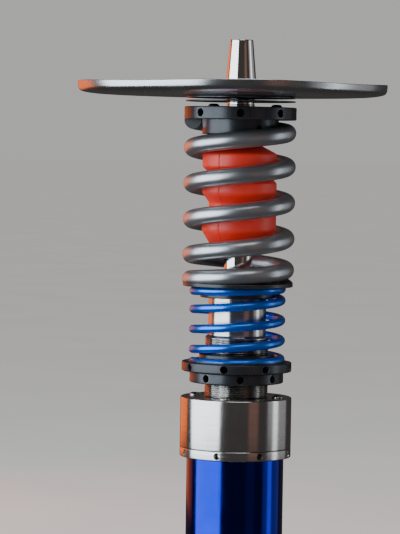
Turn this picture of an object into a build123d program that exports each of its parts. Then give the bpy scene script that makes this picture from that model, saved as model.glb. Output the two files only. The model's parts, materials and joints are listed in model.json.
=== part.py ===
"""Coilover-style water-pipe column: foot, vessel, threaded body, two springs in series, rod and tray.

All sizes are in millimetres.  The origin is the centre of the foot's underside, +Z runs up the
axis, and -Y is the front.  Angles named *_angle are measured about Z from +X.
"""
import os
from math import cos, pi, sin

from build123d import *

os.makedirs("parts", exist_ok=True)

# ---------------------------------------------------------------- driving dimensions
slack = 0.1                 # radial gap between pieces that are screwed or glued together
running = 0.05              # radial gap of a sliding or turning fit
bottom_align = (Align.CENTER, Align.CENTER, Align.MIN)

# foot and vessel
pad_thickness = 3.0
pad_radius = 80.0
foot_thickness = 12.0
foot_radius = 85.0
tube_radius = 38.0
tube_bore = 35.0
tube_clearance = 0.2         # radial gap between the tube and what slides over it
plug_height = 20.0
foot_screw_circle = 22.0
foot_screw_radius = 2.5
foot_screw_head = 5.0
foot_screw_head_height = 4.7
foot_screw_length = 20.0
blind_depth = 14.0          # of the screw holes in the plug
plug_groove = 3.0

# base collar and its clamp ring
collar_radius = 43.5
clamp_bottom = 226.0
clamp_height = 7.3
clamp_neck_radius = 40.4
clamp_neck_height = 3.7
collar_height = 39.3
roof_thickness = 10.0
chamber_radius = 36.5
clamp_hole_radius = 2.4
clamp_hole_depth = 3.5
hole_run_out = 12.0          # length of a radial drill, past the outer face
clamp_hole_angle = 26.0 - 90.0
body_screw_circle = 33.5
body_screw_angle = -15.0 - 90.0
screw_head_radius = 4.3
screw_head_height = 2.2
screw_shank_radius = 2.0
screw_socket_radius = 1.5
screw_socket_depth = 1.5

# hose socket and purge valve, both at the back
hose_height = 250.0
hose_thread_radius = 7.0
hose_inner_radius = 5.5
hose_mouth_radius = 7.0
hose_mouth_depth = 20.0
hose_barrel_radius = 10.0
hose_barrel_length = 22.0
hose_bead_length = 5.0
hose_flange_thickness = 4.0
hose_flange_radius = 12.0
hose_washer = 1.2
spot_face = 42.0
purge_circle = 34.2
purge_angle = 120.0
purge_ball_radius = 3.0
purge_hole_radius = 1.6
purge_well = 6.0            # depth of the ball's well in the roof
purge_cap_radius = 5.8
purge_cap_height = 5.0
purge_cap_cavity = 3.2

# threaded body
thread_radius = 25.0
thread_pitch = 1.5
thread_depth = 0.8
thread_length = 48.0
sleeve_radius = 22.5
sleeve_bore = 19.5
sleeve_top = 358.0
seal_head_bottom = 340.0
seal_head_top = 363.0
bush_depth = 11.0
rod_seal_bottom = 12.5      # above the seal head's bottom
rod_seal_height = 4.0
wiper_depth = 4.0
flange_radius = 36.3
flange_thickness = 6.0

# adjuster rings
lock_radius = 36.7
lock_bottom = 283.9
lock_height = 8.8
seat_radius = 43.0
seat_height = 7.3
ring_hole_radius = 2.8
ring_hole_depth = 9.0
lock_hole_angle = -40.0 - 90.0
seat_hole_angle = -13.0 - 90.0
slip_thickness = 1.2
spring_boss_radius = 29.4
seat_boss_height = 6.2
seat_rise = 12.0             # how far the rings can be screwed up from where they stand

# springs
helper_wire_radius = 3.3
helper_mean_radius = 34.35
helper_length = 57.7
main_wire_radius = 6.7
main_mean_radius = 37.05
main_length = 126.7
divider_radius = 43.0
divider_thickness = 3.1
divider_bore = 25.6
divider_lower_boss = 8.8
divider_upper_boss = 6.3

# rod and what it carries
rod_radius = 11.0
rod_bore = 7.0
groove_width = 0.9
piston_height = 14.8
band_height = 8.0
bumper_height = 6.2
nut_height = 8.0
dip_radius = 8.0
dip_bottom = 76.0
dip_overlap = 14.0           # how far the dip tube reaches up into the rod
diffuser_radius = 13.0
diffuser_bottom = 64.0
diffuser_height = 22.0
perch_depth = 17.2
perch_neck_radius = 20.0
perch_neck_height = 5.7
set_screw_height = 9.5      # above the perch's underside
set_screw_radius = 2.9
set_screw_angle = 60.0
washer_thickness = 2.1
bump_length = 78.0
collar_top_radius = 43.75
collar_top_height = 9.9
perch_flange_radius = 33.0
perch_flange_height = 4.0
top_screw_circle = 29.0
top_screw_angle = -45.6 - 90.0
bump_radius = 29.2
bump_waist = 23.6
stem_rise = 4.0
disc_radius = 43.0
disc_thickness = 1.0
spacer_height = 1.8
plate_radius = 42.5
gasket_thickness = 0.8
spigot_base_radius = 12.3
spigot_tip_radius = 9.0
spigot_bore = 5.0
spigot_top = 551.0
spigot_step = 7.0            # height of the spigot's plain foot
spigot_stub = 13.0           # how far the spigot reaches down into the rod

# tray
tray_radius = 118.5
tray_lobe = 2.5
tray_lobe_count = 4
tray_shift = -6.3
tray_wall = 1.5
tray_depth = 10.2
outline_steps = 48

# ---------------------------------------------------------------- heights worked out from them
foot_top = pad_thickness + foot_thickness
groove_bottom = foot_top + blind_depth + 1.0
clamp_top = clamp_bottom + clamp_height
collar_top = clamp_top + collar_height
roof_bottom = collar_top - roof_thickness
neck_top = clamp_top + clamp_neck_height
seal_step = neck_top + 3.0
tube_top = seal_step + 1.5
flange_bottom = roof_bottom - flange_thickness
flange_face = spot_face + hose_washer
barrel_face = flange_face + hose_flange_thickness
hose_mouth = barrel_face + hose_barrel_length
thread_top = collar_top + thread_length
lock_top = lock_bottom + lock_height
seat_bottom = lock_top + slack
seat_top = seat_bottom + seat_height
helper_bottom = seat_top + slip_thickness
helper_top = helper_bottom + helper_length
main_bottom = helper_top + divider_thickness
main_top = main_bottom + main_length
perch_top = main_top + perch_flange_height
top_collar_top = main_top + collar_top_height
rod_top = top_collar_top + stem_rise
spacer_bottom = rod_top + disc_thickness
plate_bottom = spacer_bottom + spacer_height
plate_top = plate_bottom + disc_thickness
tray_bottom = plate_top + gasket_thickness
perch_bottom = main_top - perch_depth
bump_top = perch_bottom - washer_thickness
bump_bottom = bump_top - bump_length
bumper_top = seal_head_bottom - seat_rise - 0.5
piston_top = bumper_top - bumper_height
piston_bottom = piston_top - piston_height
nut_bottom = piston_bottom - nut_height
band_bottom = piston_bottom + 3.4
rod_bottom = nut_bottom - 5.0


def save(part, name):
    """Label a finished piece and write its STEP file."""
    part.label = name
    export_step(part, f"parts/{name}.step")


# ---------------------------------------------------------------- foot
with BuildPart() as foot_pad:
    with BuildSketch():
        Circle(pad_radius)
    extrude(amount=pad_thickness)
    chamfer(foot_pad.edges().group_by(Axis.Z)[0], 0.8)
save(foot_pad.part, "foot_pad")

with BuildPart() as foot_plate:
    with BuildSketch(Plane.XY.offset(pad_thickness)):
        Circle(foot_radius)
    extrude(amount=foot_thickness)
    fillet(foot_plate.edges().group_by(Axis.Z)[-1], 4.0)
    chamfer(foot_plate.edges().group_by(Axis.Z)[0], 1.0)
    with BuildSketch(Plane.XY.offset(pad_thickness)):
        with PolarLocations(foot_screw_circle, 4):
            Circle(foot_screw_radius + slack)
    extrude(amount=foot_thickness, mode=Mode.SUBTRACT)
    with BuildSketch(Plane.XY.offset(pad_thickness)):
        with PolarLocations(foot_screw_circle, 4):
            Circle(foot_screw_head + slack)
    extrude(amount=foot_screw_head_height + 0.3, mode=Mode.SUBTRACT)
save(foot_plate.part, "foot_plate")

with BuildPart() as foot_screws:
    with BuildSketch(Plane.XY.offset(pad_thickness + 0.3)):
        with PolarLocations(foot_screw_circle, 4):
            Circle(foot_screw_head)
    extrude(amount=foot_screw_head_height)
    with BuildSketch(Plane.XY.offset(pad_thickness + foot_screw_head_height + 0.3)):
        with PolarLocations(foot_screw_circle, 4):
            Circle(foot_screw_radius)
    extrude(amount=foot_screw_length)
    with BuildSketch(Plane.XY.offset(pad_thickness + 0.3)):
        with PolarLocations(foot_screw_circle, 4):
            RegularPolygon(0.9 * foot_screw_radius, 6)
    extrude(amount=0.5 * foot_screw_head_height, mode=Mode.SUBTRACT)
save(foot_screws.part, "foot_screws")

with BuildPart() as base_plug:
    with BuildSketch(Plane.XY.offset(foot_top)):
        Circle(tube_bore - slack)
        with PolarLocations(foot_screw_circle, 4):
            Circle(foot_screw_radius + slack, mode=Mode.SUBTRACT)
    extrude(amount=blind_depth)
    with BuildSketch(Plane.XY.offset(foot_top + blind_depth)):
        Circle(tube_bore - slack)
    extrude(amount=plug_height - blind_depth)
    with BuildSketch(Plane.XY.offset(groove_bottom)):
        Circle(tube_bore)
        Circle(tube_bore - 2.6, mode=Mode.SUBTRACT)
    extrude(amount=plug_groove, mode=Mode.SUBTRACT)
    chamfer(base_plug.edges().group_by(Axis.Z)[-1], 1.0)
save(base_plug.part, "base_plug")

with BuildPart() as plug_seal:
    with BuildSketch(Plane.XZ):
        with Locations((tube_bore - 1.3, groove_bottom + plug_groove / 2)):
            Circle(1.2)
    revolve(axis=Axis.Z)
save(plug_seal.part, "plug_seal")

# ---------------------------------------------------------------- vessel
with BuildPart() as vessel_tube:
    with BuildSketch(Plane.XY.offset(foot_top)):
        Circle(tube_radius)
        Circle(tube_bore, mode=Mode.SUBTRACT)
    extrude(amount=tube_top - foot_top)
    chamfer(vessel_tube.edges(), 0.4)
save(vessel_tube.part, "vessel_tube")

with BuildPart() as tube_seal:
    with BuildSketch(Plane.XZ):
        with Locations((tube_radius + 1.4, neck_top + 1.1)):
            Circle(1.0)
    revolve(axis=Axis.Z)
save(tube_seal.part, "tube_seal")

with BuildPart() as clamp_ring:
    with BuildSketch(Plane.XY.offset(clamp_bottom)):
        Circle(collar_radius)
        Circle(tube_radius + tube_clearance, mode=Mode.SUBTRACT)
    extrude(amount=clamp_height)
    chamfer(clamp_ring.edges().filter_by(GeomType.CIRCLE).sort_by(SortBy.RADIUS)[-2:], 0.6)
    with BuildSketch(Plane.XY.offset(clamp_top)):
        Circle(clamp_neck_radius)
        Circle(tube_radius + tube_clearance, mode=Mode.SUBTRACT)
    extrude(amount=neck_top - clamp_top)
    with Locations((0, 0, clamp_bottom + clamp_height / 2)):
        with PolarLocations(collar_radius - clamp_hole_depth, 8, start_angle=clamp_hole_angle):
            Cylinder(clamp_hole_radius, hole_run_out, rotation=(0, 90, 0), align=bottom_align, mode=Mode.SUBTRACT)
save(clamp_ring.part, "clamp_ring")

# ---------------------------------------------------------------- base collar
with BuildPart() as base_collar:
    with BuildSketch(Plane.XY.offset(clamp_top)):
        Circle(collar_radius)
    extrude(amount=collar_height)
    chamfer(base_collar.edges(), 0.6)
    with BuildSketch(Plane.XY.offset(clamp_top)):
        Circle(clamp_neck_radius + slack)
    extrude(amount=seal_step - clamp_top, mode=Mode.SUBTRACT)
    with BuildSketch(Plane.XY.offset(seal_step)):
        Circle(tube_radius + tube_clearance)
    extrude(amount=tube_top - seal_step, mode=Mode.SUBTRACT)
    with BuildSketch(Plane.XY.offset(tube_top)):
        Circle(chamber_radius)
    extrude(amount=roof_bottom - tube_top, mode=Mode.SUBTRACT)
    with BuildSketch(Plane.XY.offset(roof_bottom)):
        Circle(thread_radius + slack)
        with PolarLocations(body_screw_circle, 4, start_angle=body_screw_angle):
            Circle(screw_shank_radius + slack)
        with PolarLocations(purge_circle, 1, start_angle=purge_angle):
            Circle(purge_hole_radius)
    extrude(amount=roof_thickness, mode=Mode.SUBTRACT)
    with BuildSketch(Plane.XY.offset(collar_top - purge_well)):
        with PolarLocations(purge_circle, 1, start_angle=purge_angle):
            Circle(purge_ball_radius + 0.3)
    extrude(amount=purge_well, mode=Mode.SUBTRACT)
    with BuildSketch(Plane.XZ.offset(-spot_face)):
        with Locations((0, hose_height)):
            Circle(hose_flange_radius + 0.5)
    extrude(amount=-5.0, mode=Mode.SUBTRACT)
    with BuildSketch(Plane.XZ.offset(-30.0)):
        with Locations((0, hose_height)):
            Circle(hose_thread_radius + slack)
    extrude(amount=-15.0, mode=Mode.SUBTRACT)
save(base_collar.part, "base_collar")

with BuildPart() as base_collar_screws:
    with BuildSketch(Plane.XY.offset(flange_bottom + 1.0)):
        with PolarLocations(body_screw_circle, 4, start_angle=body_screw_angle):
            Circle(screw_shank_radius)
    extrude(amount=collar_top - flange_bottom - 1.0)
    with BuildSketch(Plane.XY.offset(collar_top)):
        with PolarLocations(body_screw_circle, 4, start_angle=body_screw_angle):
            Circle(screw_head_radius)
    extrude(amount=screw_head_height)
    fillet(base_collar_screws.edges().group_by(Axis.Z)[-1], 1.4)
    with BuildSketch(Plane.XY.offset(collar_top + screw_head_height)):
        with PolarLocations(body_screw_circle, 4, start_angle=body_screw_angle):
            RegularPolygon(screw_socket_radius, 6)
    extrude(amount=-screw_socket_depth, mode=Mode.SUBTRACT)
save(base_collar_screws.part, "base_collar_screws")

with BuildPart() as hose_socket:
    with BuildSketch(Plane.XZ.offset(-(chamber_radius + 0.4))):
        with Locations((0, hose_height)):
            Circle(hose_thread_radius)
    extrude(amount=-8.0)
    with BuildSketch(Plane.XZ.offset(-flange_face)):
        with Locations((0, hose_height)):
            Circle(hose_flange_radius)
    extrude(amount=-hose_flange_thickness)
    with BuildSketch(Plane.XZ.offset(-barrel_face)):
        with Locations((0, hose_height)):
            Circle(hose_barrel_radius)
    extrude(amount=-hose_barrel_length)
    with BuildSketch(Plane.XZ.offset(-(hose_mouth - hose_bead_length))):
        with Locations((0, hose_height)):
            Circle(hose_barrel_radius + 1.2)
    extrude(amount=-hose_bead_length)
    with BuildSketch(Plane.XZ.offset(-hose_mouth)):
        with Locations((0, hose_height)):
            Circle(hose_mouth_radius)
    extrude(amount=hose_mouth_depth, mode=Mode.SUBTRACT)
    with BuildSketch(Plane.XZ.offset(-30.0)):
        with Locations((0, hose_height)):
            Circle(hose_inner_radius)
    extrude(amount=-25.0, mode=Mode.SUBTRACT)
save(hose_socket.part, "hose_socket")

with BuildPart() as hose_socket_seal:
    with BuildSketch(Plane.XZ.offset(-spot_face)):
        with Locations((0, hose_height)):
            Circle(hose_flange_radius - 1.0)
            Circle(hose_thread_radius + slack, mode=Mode.SUBTRACT)
    extrude(amount=-hose_washer)
save(hose_socket_seal.part, "hose_socket_seal")

with BuildPart() as purge_ball:
    ball_rise = (purge_ball_radius**2 - purge_hole_radius**2) ** 0.5 + running
    with Locations((0, 0, collar_top - purge_well + ball_rise)):
        with PolarLocations(purge_circle, 1, start_angle=purge_angle):
            Sphere(purge_ball_radius)
save(purge_ball.part, "purge_ball")

with BuildPart() as purge_cap:
    with BuildSketch(Plane.XY.offset(collar_top)):
        with PolarLocations(purge_circle, 1, start_angle=purge_angle):
            Circle(purge_cap_radius)
    extrude(amount=purge_cap_height)
    fillet(purge_cap.edges().group_by(Axis.Z)[-1], 1.2)
    with BuildSketch(Plane.XY.offset(collar_top)):
        with PolarLocations(purge_circle, 1, start_angle=purge_angle):
            Circle(purge_ball_radius + 0.6)
    extrude(amount=purge_cap_cavity, mode=Mode.SUBTRACT)
    with BuildSketch(Plane.XY.offset(collar_top)):
        with PolarLocations(purge_circle, 1, start_angle=purge_angle):
            with PolarLocations(2.2, 3):
                Circle(0.6)
    extrude(amount=purge_cap_height, mode=Mode.SUBTRACT)
save(purge_cap.part, "purge_cap")

# ---------------------------------------------------------------- threaded body and its seals
with BuildPart() as threaded_sleeve:
    with BuildSketch(Plane.XY.offset(flange_bottom)):
        Circle(flange_radius)
    extrude(amount=flange_thickness)
    with BuildSketch(Plane.XZ) as thread_profile:
        tooth_count = int(thread_length / thread_pitch) - 2
        outline = [(sleeve_bore, roof_bottom), (thread_radius, roof_bottom)]
        for tooth in range(tooth_count):
            tooth_base = collar_top + (tooth + 0.5) * thread_pitch
            outline += [
                (thread_radius, tooth_base),
                (thread_radius - thread_depth, tooth_base + 0.5 * thread_pitch),
                (thread_radius, tooth_base + thread_pitch - 0.15),
            ]
        outline += [
            (thread_radius, thread_top - 1.0),
            (thread_radius - 1.0, thread_top),
            (sleeve_radius, thread_top),
            (sleeve_radius, sleeve_top),
            (sleeve_bore, sleeve_top),
        ]
        with BuildLine():
            Polyline(*outline, close=True)
        make_face()
    revolve(axis=Axis.Z)
    with BuildSketch(Plane.XY.offset(flange_bottom)):
        Circle(sleeve_bore)
        with PolarLocations(body_screw_circle, 4, start_angle=body_screw_angle):
            Circle(screw_shank_radius + slack)
        with PolarLocations(purge_circle, 1, start_angle=purge_angle):
            Circle(purge_hole_radius)
    extrude(amount=flange_thickness, mode=Mode.SUBTRACT)
    with BuildSketch(Plane.XY.offset(roof_bottom)):
        Circle(thread_radius + 4.0)
        Circle(thread_radius + 1.2, mode=Mode.SUBTRACT)
    extrude(amount=-2.0, mode=Mode.SUBTRACT)
save(threaded_sleeve.part, "threaded_sleeve")

with BuildPart() as sleeve_seal:
    with BuildSketch(Plane.XZ):
        with Locations((thread_radius + 2.6, roof_bottom - 1.0)):
            Circle(0.95)
    revolve(axis=Axis.Z)
save(sleeve_seal.part, "sleeve_seal")

with BuildPart() as seal_head:
    with BuildSketch(Plane.XY.offset(seal_head_bottom)):
        Circle(sleeve_bore - slack)
    extrude(amount=sleeve_top - seal_head_bottom)
    with BuildSketch(Plane.XY.offset(sleeve_top)):
        Circle(sleeve_radius)
    extrude(amount=seal_head_top - sleeve_top)
    chamfer(seal_head.edges().group_by(Axis.Z)[-1], 0.8)
    with BuildSketch(Plane.XY.offset(seal_head_bottom)):
        Circle(rod_radius + 0.4)
    extrude(amount=seal_head_top - seal_head_bottom, mode=Mode.SUBTRACT)
    with BuildSketch(Plane.XY.offset(seal_head_bottom)):
        Circle(rod_radius + 2.2)
    extrude(amount=bush_depth, mode=Mode.SUBTRACT)
    with BuildSketch(Plane.XY.offset(seal_head_bottom + rod_seal_bottom)):
        Circle(rod_radius + 4.2)
    extrude(amount=rod_seal_height, mode=Mode.SUBTRACT)
    with BuildSketch(Plane.XY.offset(seal_head_top - wiper_depth)):
        Circle(rod_radius + 3.2)
    extrude(amount=wiper_depth, mode=Mode.SUBTRACT)
    with BuildSketch(Plane.XY.offset(sleeve_top - 5.0)):
        Circle(sleeve_bore)
        Circle(sleeve_bore - 2.2, mode=Mode.SUBTRACT)
    extrude(amount=2.6, mode=Mode.SUBTRACT)
save(seal_head.part, "seal_head")

with BuildPart() as seal_head_ring:
    with BuildSketch(Plane.XZ):
        with Locations((sleeve_bore - 1.15, sleeve_top - 3.7)):
            Circle(1.0)
    revolve(axis=Axis.Z)
save(seal_head_ring.part, "seal_head_ring")

with BuildPart() as rod_bush:
    with BuildSketch(Plane.XY.offset(seal_head_bottom + 0.6)):
        Circle(rod_radius + 2.1)
        Circle(rod_radius + running, mode=Mode.SUBTRACT)
    extrude(amount=bush_depth - 0.6)
save(rod_bush.part, "rod_bush")

with BuildPart() as rod_seal:
    with BuildSketch(Plane.XY.offset(seal_head_bottom + rod_seal_bottom + 0.2)):
        Circle(rod_radius + 4.1)
        Circle(rod_radius + running, mode=Mode.SUBTRACT)
    extrude(amount=rod_seal_height - 0.4)
save(rod_seal.part, "rod_seal")

with BuildPart() as wiper_seal:
    with BuildSketch(Plane.XZ):
        with BuildLine():
            Polyline(
                (rod_radius + running, seal_head_top + 1.6),
                (rod_radius + 1.2, seal_head_top + 1.6),
                (rod_radius + 3.1, seal_head_top),
                (rod_radius + 3.1, seal_head_top - wiper_depth + slack),
                (rod_radius + 1.0, seal_head_top - wiper_depth + slack),
                (rod_radius + 1.0, seal_head_top - 1.0),
                close=True,
            )
        make_face()
    revolve(axis=Axis.Z)
save(wiper_seal.part, "wiper_seal")

# ---------------------------------------------------------------- adjuster rings
with BuildPart() as lock_ring:
    with BuildSketch(Plane.XY.offset(lock_bottom)):
        Circle(lock_radius)
        Circle(thread_radius + running, mode=Mode.SUBTRACT)
    extrude(amount=lock_height)
    chamfer(lock_ring.edges().filter_by(GeomType.CIRCLE).sort_by(SortBy.RADIUS)[-2:], 0.9)
    with Locations((0, 0, lock_bottom + lock_height / 2)):
        with PolarLocations(lock_radius - ring_hole_depth, 8, start_angle=lock_hole_angle):
            Cylinder(ring_hole_radius, hole_run_out, rotation=(0, 90, 0), align=bottom_align, mode=Mode.SUBTRACT)
save(lock_ring.part, "lock_ring")

with BuildPart() as seat_ring:
    with BuildSketch(Plane.XY.offset(seat_bottom)):
        Circle(seat_radius)
    extrude(amount=seat_height)
    chamfer(seat_ring.edges(), 0.9)
    with BuildSketch(Plane.XY.offset(seat_top)):
        Circle(spring_boss_radius)
    extrude(amount=seat_boss_height)
    chamfer(seat_ring.edges().group_by(Axis.Z)[-1], 0.8)
    with BuildSketch(Plane.XY.offset(seat_bottom)):
        Circle(thread_radius + running)
    extrude(amount=seat_height + seat_boss_height, mode=Mode.SUBTRACT)
    with Locations((0, 0, seat_bottom + seat_height / 2)):
        with PolarLocations(seat_radius - ring_hole_depth, 8, start_angle=seat_hole_angle):
            Cylinder(ring_hole_radius, hole_run_out, rotation=(0, 90, 0), align=bottom_align, mode=Mode.SUBTRACT)
save(seat_ring.part, "seat_ring")

with BuildPart() as slip_ring:
    with BuildSketch(Plane.XY.offset(seat_top)):
        Circle(helper_mean_radius + helper_wire_radius + 0.6)
        Circle(spring_boss_radius + 0.3, mode=Mode.SUBTRACT)
    extrude(amount=slip_thickness)
save(slip_ring.part, "slip_ring")


# ---------------------------------------------------------------- springs
def coil_path(mean_radius, start_angle, stretches):
    """Joined helices, each (turns, rise), starting at the given height and angle."""
    edges = []
    angle = start_angle
    height = 0.0
    for turns, rise in stretches:
        helix = Helix(pitch=rise / turns, height=rise, radius=mean_radius, mode=Mode.PRIVATE)
        edges.append(Location((0, 0, height), (0, 0, angle)) * helix)
        angle += 360.0 * turns
        height += rise
    return edges


helper_start = helper_bottom + 1.3
helper_rise = helper_length - 2.6
helper_end_rise = 4.6
helper_start_angle = 180.0
with BuildPart() as helper_spring:
    with BuildLine(Plane.XY.offset(helper_start)) as helper_path:
        stretches = [(0.75, helper_end_rise), (3.4, helper_rise - 2 * helper_end_rise), (0.75, helper_end_rise)]
        for edge in coil_path(helper_mean_radius, helper_start_angle, stretches):
            add(edge)
    with BuildSketch(Plane(helper_path.line @ 0, z_dir=helper_path.line % 0)):
        Circle(helper_wire_radius)
    sweep(path=helper_path.line, is_frenet=True, transition=Transition.TRANSFORMED)
    with BuildSketch(Plane.XY.offset(helper_bottom)):
        Circle(helper_mean_radius + 2 * helper_wire_radius)
    extrude(amount=helper_length, mode=Mode.INTERSECT)
save(helper_spring.part, "helper_spring")

main_start = main_bottom + 0.8
main_rise = main_length - 1.6
main_bottom_rise = 7.5
main_top_rise = 10.5
main_start_angle = 0.0
with BuildPart() as main_spring:
    with BuildLine(Plane.XY.offset(main_start)) as main_path:
        stretches = [
            (0.75, main_bottom_rise),
            (4.0, main_rise - main_bottom_rise - main_top_rise),
            (0.75, main_top_rise),
        ]
        for edge in coil_path(main_mean_radius, main_start_angle, stretches):
            add(edge)
    with BuildSketch(Plane(main_path.line @ 0, z_dir=main_path.line % 0)):
        Circle(main_wire_radius)
    sweep(path=main_path.line, is_frenet=True, transition=Transition.TRANSFORMED)
    with BuildSketch(Plane.XY.offset(main_bottom)):
        Circle(main_mean_radius + 2 * main_wire_radius)
    extrude(amount=main_length, mode=Mode.INTERSECT)
save(main_spring.part, "main_spring")

with BuildPart() as spring_divider:
    with BuildSketch(Plane.XY.offset(helper_top - divider_lower_boss)):
        Circle(spring_boss_radius)
    extrude(amount=divider_lower_boss)
    with BuildSketch(Plane.XY.offset(helper_top)):
        Circle(divider_radius)
    extrude(amount=divider_thickness)
    with BuildSketch(Plane.XY.offset(main_bottom)):
        Circle(spring_boss_radius + 0.5)
    extrude(amount=divider_upper_boss)
    chamfer(spring_divider.edges().filter_by(GeomType.CIRCLE), 0.6)
    with BuildSketch(Plane.XY.offset(helper_top - divider_lower_boss)):
        Circle(divider_bore)
    extrude(amount=divider_lower_boss + divider_thickness + divider_upper_boss, mode=Mode.SUBTRACT)
save(spring_divider.part, "spring_divider")

# ---------------------------------------------------------------- rod and guide
with BuildPart() as rod:
    with BuildSketch(Plane.XY.offset(rod_bottom)):
        Circle(rod_radius)
    extrude(amount=rod_top - rod_bottom)
    chamfer(rod.edges(), 0.5)
    with BuildSketch(Plane.XY.offset(top_collar_top + 2.3)):
        Circle(rod_radius)
        Circle(rod_radius - 0.5, mode=Mode.SUBTRACT)
    extrude(amount=groove_width, mode=Mode.SUBTRACT)
    with BuildSketch(Plane.XY.offset(rod_bottom)):
        Circle(rod_bore)
    extrude(amount=rod_top - rod_bottom, mode=Mode.SUBTRACT)
    with BuildSketch(Plane.XY.offset(rod_bottom)):
        Circle(dip_radius + 0.2)
    extrude(amount=dip_overlap, mode=Mode.SUBTRACT)
save(rod.part, "rod")

with BuildPart() as guide_piston:
    with BuildSketch(Plane.XY.offset(piston_bottom)):
        Circle(sleeve_bore - 0.5)
        Circle(rod_radius + slack, mode=Mode.SUBTRACT)
    extrude(amount=piston_top - piston_bottom)
    with BuildSketch(Plane.XY.offset(band_bottom)):
        Circle(sleeve_bore)
        Circle(sleeve_bore - 2.0, mode=Mode.SUBTRACT)
    extrude(amount=band_height, mode=Mode.SUBTRACT)
save(guide_piston.part, "guide_piston")

with BuildPart() as piston_band:
    with BuildSketch(Plane.XY.offset(band_bottom + 0.2)):
        Circle(sleeve_bore - running)
        Circle(sleeve_bore - 1.9, mode=Mode.SUBTRACT)
    extrude(amount=band_height - 0.4)
save(piston_band.part, "piston_band")

with BuildPart() as piston_nut:
    with BuildSketch(Plane.XY.offset(nut_bottom)):
        RegularPolygon(rod_radius + 4.0, 6, major_radius=False)
        Circle(rod_radius + slack, mode=Mode.SUBTRACT)
    extrude(amount=nut_height)
    chamfer(piston_nut.edges().filter_by(GeomType.CIRCLE), 0.4)
save(piston_nut.part, "piston_nut")

with BuildPart() as rebound_bumper:
    with BuildSketch(Plane.XY.offset(piston_top)):
        Circle(rod_radius + 6.0)
        Circle(rod_radius + slack, mode=Mode.SUBTRACT)
    extrude(amount=bumper_height)
    fillet(rebound_bumper.edges().filter_by(GeomType.CIRCLE).sort_by(SortBy.RADIUS)[-2:], 1.5)
save(rebound_bumper.part, "rebound_bumper")

with BuildPart() as dip_tube:
    with BuildSketch(Plane.XY.offset(dip_bottom)):
        Circle(dip_radius)
        Circle(dip_radius - 1.0, mode=Mode.SUBTRACT)
    extrude(amount=rod_bottom + dip_overlap - dip_bottom)
save(dip_tube.part, "dip_tube")

with BuildPart() as diffuser:
    with BuildSketch(Plane.XY.offset(diffuser_bottom)):
        Circle(diffuser_radius)
    extrude(amount=diffuser_height)
    fillet(diffuser.edges().filter_by(GeomType.CIRCLE), 2.0)
    with BuildSketch(Plane.XY.offset(dip_bottom)):
        Circle(dip_radius + slack)
    extrude(amount=diffuser_bottom + diffuser_height - dip_bottom, mode=Mode.SUBTRACT)
    with BuildSketch(Plane.XY.offset(diffuser_bottom + 3.0)):
        Circle(dip_radius - 1.0)
    extrude(amount=dip_bottom - diffuser_bottom - 3.0, mode=Mode.SUBTRACT)
    with Locations((0, 0, diffuser_bottom + 7.0)):
        with PolarLocations(0, 8):
            Cylinder(1.5, diffuser_radius + 2.0, rotation=(0, 90, 0), align=bottom_align, mode=Mode.SUBTRACT)
save(diffuser.part, "diffuser")

# ---------------------------------------------------------------- bump stop
with BuildPart() as bump_stop:
    with BuildSketch(Plane.XZ):
        with BuildLine():
            bore_line = Line((rod_radius + 0.3, bump_bottom), (rod_radius + 0.3, bump_top))
            top_line = Line(bore_line @ 1, (15.6, bump_top))
            top_bevel = Line(top_line @ 1, (bump_radius, bump_top - 7.0))
            top_wall = Line(top_bevel @ 1, (bump_radius, bump_top - 18.0))
            upper_waist = ThreePointArc(top_wall @ 1, (bump_waist, bump_top - 23.4), (bump_radius, bump_top - 29.5))
            middle_wall = Line(upper_waist @ 1, (bump_radius, bump_top - 38.0))
            middle_taper = Line(middle_wall @ 1, (bump_waist, bump_top - 45.0))
            lower_waist = Line(middle_taper @ 1, (bump_waist, bump_top - 49.5))
            lower_rise = Line(lower_waist @ 1, (bump_radius, bump_top - 54.0))
            lower_wall = Line(lower_rise @ 1, (bump_radius, bump_top - 67.0))
            lower_taper = Line(lower_wall @ 1, (22.4, bump_bottom))
            Line(lower_taper @ 1, bore_line @ 0)
        make_face()
    revolve(axis=Axis.Z)
save(bump_stop.part, "bump_stop")

with BuildPart() as bump_stop_washer:
    with BuildSketch(Plane.XY.offset(bump_top)):
        Circle(perch_neck_radius)
        Circle(rod_radius + slack, mode=Mode.SUBTRACT)
    extrude(amount=washer_thickness)
save(bump_stop_washer.part, "bump_stop_washer")

# ---------------------------------------------------------------- top collar
with BuildPart() as spring_perch:
    with BuildSketch(Plane.XY.offset(perch_bottom)):
        Circle(perch_neck_radius)
    extrude(amount=perch_neck_height)
    with BuildSketch(Plane.XY.offset(perch_bottom + perch_neck_height)):
        Circle(spring_boss_radius + 0.5)
    extrude(amount=perch_depth - perch_neck_height)
    chamfer(spring_perch.edges().filter_by(GeomType.CIRCLE).group_by(Axis.Z)[0], 0.6)
    with BuildSketch(Plane.XY.offset(main_top)):
        Circle(perch_flange_radius)
    extrude(amount=perch_flange_height)
    with BuildSketch(Plane.XY.offset(perch_bottom)):
        Circle(rod_radius + slack)
    extrude(amount=perch_top - perch_bottom, mode=Mode.SUBTRACT)
    with BuildSketch(Plane.XY.offset(main_top)):
        with PolarLocations(top_screw_circle, 3, start_angle=top_screw_angle):
            Circle(screw_shank_radius + slack)
    extrude(amount=perch_flange_height, mode=Mode.SUBTRACT)
    with Locations((0, 0, perch_bottom + set_screw_height)):
        with PolarLocations(0, 3, start_angle=set_screw_angle):
            Cylinder(set_screw_radius + slack, spring_boss_radius + 2.0, rotation=(0, 90, 0), align=bottom_align, mode=Mode.SUBTRACT)
save(spring_perch.part, "spring_perch")

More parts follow.
